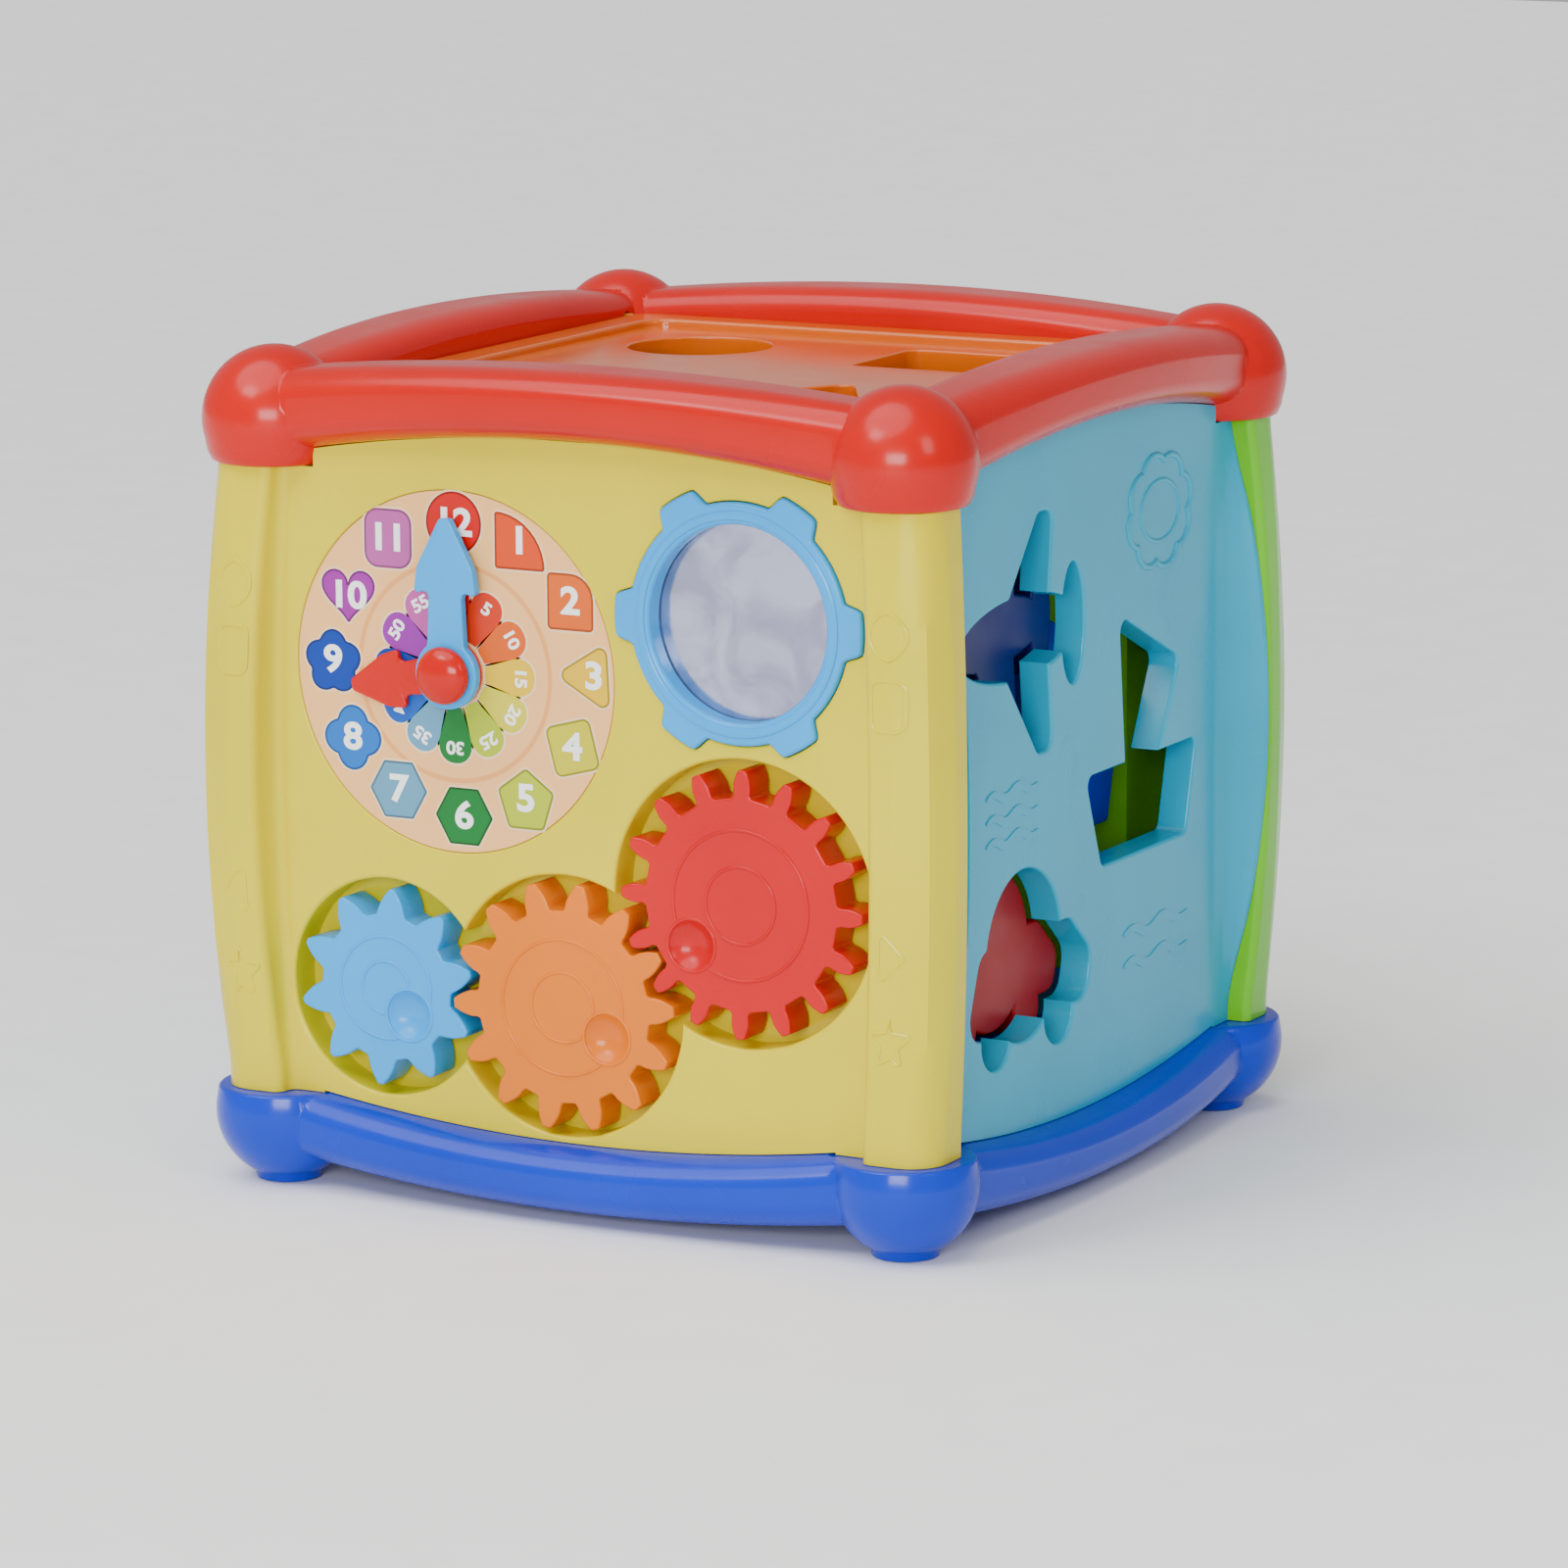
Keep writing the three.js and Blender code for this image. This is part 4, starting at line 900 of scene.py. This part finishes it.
def lettering(text, size, x, y, turn, layer):
    curve = bpy.data.curves.new("numeral", "FONT")
    curve.body = text
    curve.size = size
    curve.align_x = "CENTER"
    curve.align_y = "CENTER"
    curve.offset = size * 0.034
    curve.space_character = 0.98
    curve.extrude = LAYER * layer / 2 + 0.01
    curve.resolution_u = 8
    text_object = add_object("numeral", curve)
    item = add_object("numeral", final_mesh(text_object))
    bpy.data.objects.remove(text_object)
    upright = Matrix.Rotation(math.pi / 2, 4, "X")
    out = DIAL_OUT - 0.01 + LAYER * layer / 2
    where = Matrix.Translation((CLOCK[0] + x, -out, CLOCK[1] + y))
    wide = Matrix.Scale(1.16, 4, (1, 0, 0))
    return moved(item, where @ Matrix.Rotation(turn, 4, "Y") @ upright @ wide)


def centre_of(outline):
    xs = [x for x, _ in outline]
    ys = [y for _, y in outline]
    return (min(xs) + max(xs)) / 2, (min(ys) + max(ys)) / 2


def clock_face():
    dial = loft(circle(*CLOCK, DIAL_RADIUS, 128), soft(DIAL_OUT - 0.6, DIAL_OUT, 0.12, 0))
    card = flat_color("dial", linear(0.88, 0.47, 0.17), 0.42)
    finish(dial, card, "clock_dial", "clock_dial_card", slot="printed_dial")
    margins = []
    numerals = []
    for hour, (outline, color) in badges().items():
        here = at_dial(outline)
        margins.append(on_dial(offset(here, 0.45), 1))
        ink(on_dial(here, 2), f"badge_edge_{hour}", shade(printed(*color), 0.45))
        ink(on_dial(offset(here, -0.45), 3), f"badge_{hour}", printed(*color))
        x, y = centre_of(outline)
        nudge = {3: 2.0}.get(hour, 0)
        numerals.append(lettering(str(hour), 7.9, x + nudge, y, 0, 4.5))
    ink(gather(margins), "badge_margins", linear(0.85, 0.6, 0.36))
    ink(gather(numerals), "clock_numerals", linear(0.95, 0.95, 0.93))
    minutes = []
    for hour, color in PETALS.items():
        bearing = math.pi / 2 - hour * math.pi / 6
        petal = fillet([(7.5, -1.7), (14.5, -3.9), (19.4, -4.1), (19.4, 4.1), (14.5, 3.9), (7.5, 1.7)],
                       [0.5, 3, 3.6, 3.6, 3, 0.5], 6)
        here = at_dial(turned_points(petal, bearing))
        ink(on_dial(offset(here, 0.45), 1), f"petal_edge_{hour}", linear(0.85, 0.62, 0.4))
        ink(on_dial(here, 2), f"petal_{hour}", printed(*color))
        minutes.append(lettering(str(5 * hour), 3.8, *polar(0, 0, 16, bearing), hour * math.pi / 6, 3.5))
    ink(gather(minutes), "clock_minutes", linear(0.95, 0.95, 0.93))
    outer = circle(*CLOCK, 23.6, 128)
    track = cut(on_dial(outer, 0.5), on_dial(circle(*CLOCK, 22.6, 128), 6))
    ink(track, "clock_track", linear(0.8, 0.34, 0.1))


clock_face()


def hand_outline(length, head_width, head_length, shaft, hub):
    lean = math.asin(shaft / 2 / hub)
    neck = length - head_length
    barb = neck - 1.6
    right = [(shaft / 2, hub * math.cos(lean)), (shaft / 2 - 0.6, neck), (head_width / 2, barb)]
    right += [(head_width / 2 - 0.9, neck + head_length * 0.3), (1.2, length)]
    radii = [1.2, 1.2, 1.0, 3.5, 1.0]
    left = [(-x, y) for x, y in reversed(right)]
    sweep = [math.pi / 2 + lean + (2 * math.pi - 2 * lean) * k / 48 for k in range(1, 48)]
    disc = [polar(0, 0, hub, a) for a in sweep]
    return fillet([*right, *left, *disc], [*radii, *radii[::-1], *[0] * len(disc)], 6)


def hand(node, length, head_width, head_length, shaft, hub, degrees):
    low, high = node_box(node)
    outline = turned_points(hand_outline(length, head_width, head_length, shaft, hub), -math.radians(degrees))
    body = loft(at_dial(outline), soft(-high.y, -low.y, 0.45, 0.1))
    return cut(body, rod(*CLOCK, 3.3, 70, 95, "front", 0))


finish(hand("minute_hand", 33, 15.4, 15, 9, 7.4, 0), "sky", "minute_hand")
finish(hand("hour_hand", 25, 13, 12, 8, 7, -100), "red", "hour_hand")


def clock_post():
    dome = [(6.1 * math.cos(a), 85.6 + 3.3 * math.sin(a)) for a in (math.pi / 2 * k / 14 for k in range(15))]
    profile = [(0, 70.4), (2.9, 70.4), (2.9, 84.9), (5.6, 84.9), (6.0, 85.1), *dome]
    return turned(profile, *CLOCK)


finish(clock_post(), "red", "clock_post")


# ---------------- mirror
def mirror_bezel():
    body = loft(bezel_outline(), soft(BACKING - 1, FIELD + 1, 0.8, 0))
    ring = bead(circle(*MIRROR, 22.6, 120), 2.0, FIELD + 1, 0.5)
    window = hole(circle(*MIRROR, 20.6, 120), 1.0, FIELD + 1)
    return cut(join(body, ring), window)


finish(mirror_bezel(), "sky", "mirror_bezel")
mirror_out = (-MIRROR_HIGH.y, -MIRROR_LOW.y)
glass = loft(circle(*MIRROR, 22.6, 120), soft(mirror_out[0], mirror_out[1], 0.3, 0.1))
finish(glass, "mirror", "mirror_glass", "mirror_sheet")


# ---------------- sorter shapes
def convex(points, radius):
    return fillet([(x, MID + y) for x, y in points], radius)


def shape_outlines(name):
    """Convex outlines that run together into one shape."""
    if name == "plane":
        return [
            ellipse(-33.9, MID + 32.9, 28, 8.6),
            ellipse(-8.8, MID + 32.4, 5.5, 13),
            convex([(-45, 34), (-21, 34), (-18.6, 58), (-25.5, 58)], 3),
            convex([(-25.5, 7), (-18.6, 7), (-21, 31), (-45, 31)], 3),
        ]
    if name == "boat":
        return [
            convex([(5.4, -22.6), (47.6, -22.6), (53, -2.2), (-2.2, -2.2)], 2.2),
            convex([(17.4, -6), (32, -6), (44, 17), (14, 30.5)], 2.6),
        ]
    return [
        ellipse(-31.9, MID - 35, 17.8, 18.4),
        convex([(-59, -49.6), (-2, -49.6), (0.5, -40), (-10, -31), (-52, -31)], 5),
        circle(-44.9, MID - 50.4, 6.75),
        circle(-15.5, MID - 50.4, 6.75),
    ]


SORTER_SHAPES = ["plane", "boat", "car"]


def shape_solid(name, grow, profile):
    return join(*[loft(offset(outline, grow), profile, "right") for outline in shape_outlines(name)])


def side_plate(steps=50):
    """A flat plate whose long edges turn out towards the columns at mid height."""
    half = EDGE - SEAM
    section = [
        (half - 9, -FIELD), (half - 4.5, -FIELD - 0.4), (half - 1.6, -FIELD - 2.2),
        (half - 0.9, -PROUD + 0.3), (half - 0.2, -PROUD), (half, -PROUD + 0.3), (half, -BACKING),
    ]
    section += [(-x, y) for x, y in reversed(section)]
    verts = []
    for k in range(steps + 1):
        z = MID + TALL * (k / steps - 0.5)
        for x, y in section:
            proud = max(0, -y - FIELD)
            flat = y if y > -FIELD else -FIELD - proud * bow_at(z)
            verts.append(bowed(x, flat, z))
    return common(solid(verts, grid_faces(steps + 1, len(section))), face_slab())


def right_panel():
    panel = turn_to(side_plate(), "right")
    collars = [shape_solid(name, 2, straight(FIELD - 7, FIELD - 0.6)) for name in SORTER_SHAPES]
    holes = [hole(outline, 0.7, face="right") for name in SORTER_SHAPES for outline in shape_outlines(name)]
    return cut(join(panel, *collars), *holes)


finish(right_panel(), "cyan", "right_panel", sharp=50)


def cloud_outline(x, y, across, up):
    puffs = round_outline(0, 0, 192, lambda a: 0.86 + 0.14 * abs(math.sin(4 * a + 0.5)) ** 0.7)
    return [(x + across * px, y + up * py) for px, py in puffs]


def wave_outline(x, y, length, height, width, steps=48):
    """A band of even width along two periods of a sine curve, with its ends drawn to a point."""
    edges = {-1: [], 1: []}
    for k in range(steps + 1):
        phase = 4 * math.pi * k / steps
        slope = height * math.cos(phase) * 4 * math.pi / length
        half = width / 2 * math.sqrt(math.sin(math.pi * (k + 0.5) / (steps + 1))) / math.hypot(1, slope)
        along = x + length * (k / steps - 0.5)
        across = y + height * math.sin(phase)
        for side in edges:
            edges[side].append((along - side * half * slope, across + side * half))
    return edges[-1] + edges[1][::-1]


def right_marks():
    marks = [bead(cloud_outline(33.5, MID + 50.5, 16, 12.6), 1.5, FIELD, 0.5, "right")]
    marks.append(bead(ellipse(33.5, MID + 50.5, 9.5, 6.6, 0, 72), 1.1, FIELD, 0.3, "right"))
    for k in range(3):
        wave = wave_outline(-38, MID + 1 - 5 * k, 24, 0.8, 2.2)
        marks.append(loft(wave, straight(FIELD - 0.3, FIELD + 0.25), "right"))
    for k in range(2):
        wave = wave_outline(32, MID - 40 - 7 * k, 32, 1, 2.4)
        marks.append(loft(wave, straight(FIELD - 0.3, FIELD + 0.25), "right"))
    return gather(marks)


finish(right_marks(), "cyan", "right_panel", "right_panel_marks", replaces=False, sharp=75)


# ---------------- left face
SPINNER_AT = (-joint_at("spinner_turn")[1], joint_at("spinner_turn")[2])
ROLLER_AT = (-joint_at("roller_turn")[1], joint_at("roller_turn")[2])
ROLLER_OUT = -joint_at("roller_turn")[0]
KNOB_LOW, KNOB_HIGH = node_box("slider_knob_1")
TRACK_HEIGHT = (KNOB_LOW.z + KNOB_HIGH.z) / 2


def left_panel():
    panel = side_plate()
    x, z = ROLLER_AT
    rim = loft(rectangle(x - 26, z - 19, x + 26, z + 19, 5), soft(FIELD - 0.6, FIELD + 1.2, 0.9, 0))
    cheeks = [block((cheek - 1.5, -BACKING - 0.5, z - 7), (cheek + 1.5, -66, z + 7))
              for cheek in (x - 24.5, x + 24.5)]
    window = hole(rectangle(x - 22.5, z - 15, x + 22.5, z + 15, 3), 0.8, FIELD + 1.2)
    axle = rod(0, z, 2.3, x - 30, x + 30, "right", 0, 32)
    axle = moved(axle, Matrix.Translation((0, -ROLLER_OUT, 0)))
    track_edge = rectangle(-60, TRACK_HEIGHT - 9, 60, TRACK_HEIGHT + 9, 8.9, 16)
    track_rim = loft(track_edge, soft(FIELD - 0.6, FIELD + 1, 0.8, 0))
    track = hole(rectangle(-56, TRACK_HEIGHT - 4, 56, TRACK_HEIGHT + 4, 3.9, 12), 0.6, FIELD + 1)
    shaft_hole = rod(*SPINNER_AT, 4.4, INSIDE, 90, "front", 0)
    panel = cut(join(panel, rim, *cheeks, track_rim), window, axle, track, shaft_hole)
    ring = bead(circle(*SPINNER_AT, 30.5, 120), 1.2, FIELD, 0.5)
    return turn_to(join(panel, ring), "left")


finish(left_panel(), "cyan", "left_panel", sharp=50)


def spinner():
    x, z = SPINNER_AT
    petals = []
    dots = []
    for i in range(5):
        turn = 2 * math.pi * i / 5 + math.pi / 2
        petal = ellipse(*polar(x, z, 16, turn), 11.5, 8.2, turn)
        petals.append(loft(petal, soft(FIELD + 0.8, FIELD + 5.4, 1.6, 0.6)))
        dots.append(rod(*polar(x, z, 18.5, turn), 3.2, FIELD + 4.6, FIELD + 9))
    hub = turned([(0, FIELD + 0.6), (8.6, FIELD + 0.6), (9, FIELD + 1), (9, FIELD + 5.2), (8, FIELD + 6.1),
                  (5.5, FIELD + 6.6), (0, FIELD + 6.8)], x, z)
    shaft = rod(x, z, 4.1, BACKING - 3, FIELD + 2)
    return turn_to(cut(join(*petals, hub, shaft), *dots), "left")


finish(spinner(), "orange", "spinner")


def roller():
    x, z = ROLLER_AT
    low, high = node_box("roller")
    half = (high.y - low.y) / 2
    ribs = 12

    def radius_at(a):
        return 13.3 + 0.7 * math.tanh(3 * math.cos(a * ribs)) / math.tanh(3)

    barrel = loft(round_outline(0, 0, ribs * 12, radius_at), soft(-half, half, 1.2, 1.2), "up")
    barrel = cut(barrel, rod(0, 0, 2.3, -half - 5, half + 5, "up", 0, 32))
    lie = Matrix.Rotation(math.pi / 2, 4, "X")
    return moved(barrel, Matrix.Translation((-ROLLER_OUT, -x, z)) @ lie)


finish(roller(), "amber", "roller")


def slider_knob(index):
    low, high = node_box(f"slider_knob_{index}")
    middle = -(low.y + high.y) / 2
    crown = [(9.6, 86.9), (8.4, 87.7), (6.2, 88.2), (3.4, 88.5), (0, 88.6)]
    profile = [(0, 76), (7, 76), (7, 78.2), (3.5, 78.2), (3.5, 82.4), (10, 82.4), (10.7, 82.8), (11, 83.6)]
    return turned([*profile, (11, 85.2), (10.6, 86.1), *crown], middle, TRACK_HEIGHT, "left")


for slider_index, slider_plastic in ((1, "red"), (2, "green")):
    finish(slider_knob(slider_index), slider_plastic, f"slider_knob_{slider_index}")


# ---------------- music panel on the back
def back_middle(node):
    low, high = node_box(node)
    return -(low.x + high.x) / 2, (low.z + high.z) / 2


KEY_COLORS = ["red", "orange", "amber", "sky", "purple"]
KEYS = {f"piano_key_{i + 1}": color for i, color in enumerate(KEY_COLORS)}
KEY_HALF = 9.6
KEY_TALL = 23
KEY_FRONT = 85
DRUM_AT = back_middle("drum_button")
DRUM_RADIUS = 20
LAMP_AT = back_middle("light_lens")
SPEAKER_AT = back_middle("speaker")
SWITCH_AT = (0, back_middle("power_switch")[1])


def key_outline(node, grow=0.0):
    x, z = back_middle(node)
    return offset(rectangle(x - KEY_HALF, z - KEY_TALL, x + KEY_HALF, z + KEY_TALL, 2.0), grow)


def back_panel():
    windows = [hole(key_outline(node, 0.4), 0.5) for node in KEYS]
    drum = hole(circle(*DRUM_AT, DRUM_RADIUS + 0.5, 96), 0.6)
    lamp = hole(circle(*LAMP_AT, 11.4, 72), 0.6)
    x, z = SWITCH_AT
    slot_hole = hole(rectangle(x - 7, z - 3, x + 7, z + 3, 1.2), 0.4)
    sound = []
    for i in range(5):
        reach = 7.5 if i else 0
        sound.append(hole(circle(*polar(*SPEAKER_AT, reach, math.pi * i / 2), 2.4, 40), 0.5))
    shell = cut(column_shell(), *windows, drum, lamp, slot_hole, *sound)
    trims = [
        bead(circle(*DRUM_AT, DRUM_RADIUS + 4, 96), 1.4, FIELD, 0.6),
        bead(circle(*LAMP_AT, 15, 72), 1.2, FIELD, 0.5),
        bead(circle(*SPEAKER_AT, 13.5, 72), 1.0, FIELD, 0.45),
        bead(rectangle(x - 11, z - 6, x + 11, z + 6, 4), 0.9, FIELD, 0.4),
    ]
    return turn_to(join(shell, *trims), "back")


finish(back_panel(), "green", "back_panel")

for key_node, key_plastic in KEYS.items():
    key_cap = loft(key_outline(key_node), soft(77.5, KEY_FRONT, 1.3, 0), "back")
    key_flange = loft(key_outline(key_node, 1.1), straight(76.7, BACKING - 0.3), "back")
    finish(join(key_cap, key_flange), key_plastic, key_node)


def drum_button():
    flange = DRUM_RADIUS + 2
    profile = [(0, 76.4), (flange, 76.4), (flange, BACKING - 0.3), (DRUM_RADIUS, BACKING - 0.3)]
    profile += [(DRUM_RADIUS, 84.2), (19.6, 85.2), (18.6, 86), (17, 86.5)]
    profile += [(14.8, 86.7), (14, 86.3), (13.2, 86.7), (8, 87.5), (3, 87.8), (0, 87.8)]
    return turned(profile, *DRUM_AT, "back", 96)


finish(drum_button(), "orange", "drum_button")


def light_lens():
    dome = [(11 * math.cos(a), 81.4 + 5.2 * math.sin(a)) for a in (math.pi / 2 * k / 14 for k in range(15))]
    profile = [(0, 76.6), (13, 76.6), (13, BACKING - 0.3), (11, BACKING - 0.3), *dome]
    return turned(profile, *LAMP_AT, "back", 72)


finish(light_lens(), "lens", "light_lens")


def power_switch():
    low, high = node_box("power_switch")
    x, z = -(low.x + high.x) / 2, SWITCH_AT[1]
    knob = loft(rectangle(x - 2.5, z - 2.5, x + 2.5, z + 2.5, 0.8), soft(75, 82.6, 0.6, 0), "back")
    plate = loft(rectangle(x - 6.5, z - 4.6, x + 6.5, z + 4.6, 0.8), soft(75, 77.9, 0.2, 0.2), "back")
    grooves = [block((across - 0.25, 82.2, z - 4), (across + 0.25, 84, z + 4), 0)
               for across in (-x - 1.3, -x, -x + 1.3)]
    return cut(join(knob, plate), *grooves)


finish(power_switch(), "white", "power_switch")


# ---------------- lid and blocks
LID_PITCH = 30
LID_HALF = 65.4
LID_AT = {"round": (-1, 1), "square": (1, 1), "triangle": (1, -1), "star": (-1, -1)}


def lid_outline(name):
    outline = {
        "round": circle(0, 0, 16, 96),
        "square": rectangle(-15, -15, 15, 15, 3),
        "triangle": fillet([(-18.5, -13), (18.5, -13), (0, 19)], 3, 8),
        "star": fillet(star_points(0, 0, 18.9, 0.49), [0.9, 0.6] * 5, 4),
    }[name]
    sx, sy = LID_AT[name]
    return [(x + sx * LID_PITCH, y + sy * LID_PITCH) for x, y in outline]


def sorter_lid():
    bottom = LID_TOP - 4
    sheet = block((-LID_HALF, -LID_HALF, bottom), (LID_HALF, LID_HALF, LID_TOP), 0.5)
    well = loft(rectangle(-57.5, -57.5, 57.5, 57.5, 6), flared(bottom + 2.4, LID_TOP, 0.9), "up")
    pins = hinge_rods(2, 2.5, LID_HALF + 1.6, 0.3)
    collars = [loft(offset(lid_outline(name), 1.8), straight(bottom - 3.4, bottom + 0.5), "up")
               for name in LID_AT]
    holes = [loft(lid_outline(name), flared(bottom - 10, bottom + 2.4, 0.5), "up") for name in LID_AT]
    corners = [rod(x, y, BALL + 0.8, bottom - 5, LID_TOP + 5, "up", 0) for x, y in CORNERS]
    notch = rod(0, -LID_HALF - 3, 9, bottom - 5, LID_TOP + 5, "up", 0)
    lid = cut(sheet, well, *corners)
    return cut(join(lid, *pins, *collars), *holes, notch)


finish(sorter_lid(), "lid", "sorter_lid")

CLEARANCE = -0.8
BLOCK_WALL = 2.0


def side_block(name):
    low, high = node_box(name + "_block")
    outside = shape_solid(name, CLEARANCE, soft(low.x, high.x, 0.8, 0.3))
    return cut(outside, shape_solid(name, CLEARANCE - BLOCK_WALL, straight(low.x - 5, high.x - BLOCK_WALL)))


def lid_block(name):
    low, high = node_box(name + "_block")
    outline = offset(lid_outline(name), CLEARANCE)
    outside = loft(outline, soft(low.z, high.z, 0.8, 0.3), "up")
    inside = loft(offset(outline, -BLOCK_WALL), straight(low.z - 5, high.z - BLOCK_WALL), "up")
    return cut(outside, inside)


# The car block's darker red is painted shade for its place inside the cube.
# The plane block's near-black blue is its blue plastic with painted shade.
BLOCKS = {"plane": "navy", "boat": "blue", "car": "shade_painted_red",
          "round": "red", "square": "blue", "triangle": "amber", "star": "green"}
for block_name, block_plastic in BLOCKS.items():
    shaped_block = side_block if block_name in SORTER_SHAPES else lid_block
    finish(shaped_block(block_name), block_plastic, block_name + "_block")

# ---------------- CAD nodes that stay
KEPT = {
    "steel": [*[f"base_screw_{i}" for i in (1, 2, 3, 4)], *[f"gear_{name}_screw" for name in GEARS],
              "battery_door_screw", "contact_spring", "contact_plate", "spinner_screw", "roller_axle"],
    "jacket": ["battery_1", "battery_2"],
    "white": ["clock_washer"],
    "green": ["music_housing"],
    "board": ["circuit_board"],
    "black": ["speaker"],
    "wire": ["battery_lead"],
}
for kept_plastic, kept_nodes in KEPT.items():
    for kept_node in kept_nodes:
        kept = frame["nodes"][kept_node]
        kept.data.materials.clear()
        kept.data.materials.append(PLASTIC[kept_plastic])


# ---------------- floor, light and camera
def studio_floor():
    mesh = bpy.data.meshes.new("floor")
    size = 3.0
    corners = [(-size, -size, 0), (size, -size, 0), (size, size, 0), (-size, size, 0)]
    mesh.from_pydata(corners, [], [(0, 1, 2, 3)])
    floor = add_object("floor", mesh)
    floor.data.materials.append(moulded("floor_paper", grey(0.9), 0.8, coat=0.0, grain=0.01, tone=0.01))


def aimed(direction):
    return direction.to_track_quat("-Z", "Y").to_euler()


def area_light(name, location, size, power, target):
    light = bpy.data.lights.new(name, "AREA")
    light.shape = "RECTANGLE"
    light.size = size[0]
    light.size_y = size[1]
    light.energy = power
    item = add_object(name, light)
    item.location = location
    item.rotation_euler = aimed(Vector(target) - Vector(location))


def studio_light():
    middle = (0, 0, 0.09)
    area_light("key", (-0.35, -0.9, 0.95), (0.42, 0.28), 3, middle)
    area_light("fill", (1.0, -0.45, 0.7), (0.3, 0.45), 2, middle)
    area_light("front", (0.45, -1.4, 0.42), (0.7, 0.35), 14, middle)
    sky_data = bpy.data.lights.new("overhead", "SUN")
    sky_data.energy = 2.9
    sky_data.angle = math.radians(60)
    overhead = add_object("overhead", sky_data)
    overhead.rotation_euler = aimed(Vector((0.22, 0.38, -1)))
    world = bpy.data.worlds.new("studio")
    world.use_nodes = True
    world.node_tree.nodes["Background"].inputs["Color"].default_value = grey(1.0)
    world.node_tree.nodes["Background"].inputs["Strength"].default_value = 0.45
    bpy.context.scene.world = world


def studio_camera():
    azimuth, elevation, roll = (math.radians(angle) for angle in (28.358, 10.810, -0.3435))
    shift_right, shift_up, distance = 0.00588, -0.01054, 1.5458
    data = bpy.data.cameras.new("camera")
    data.sensor_width = 36
    data.lens = 162.71
    data.clip_end = 20
    camera = add_object("camera", data)
    stand = Matrix.Translation((0, 0, MID * MM)) @ Matrix.Rotation(azimuth, 4, "Z")
    tilt = Matrix.Rotation(math.pi / 2 - elevation, 4, "X") @ Matrix.Rotation(roll, 4, "Z")
    camera.matrix_world = stand @ tilt @ Matrix.Translation((shift_right, shift_up, distance))
    bpy.context.scene.camera = camera


studio_floor()
studio_light()
studio_camera()

bpy.context.view_layer.update()
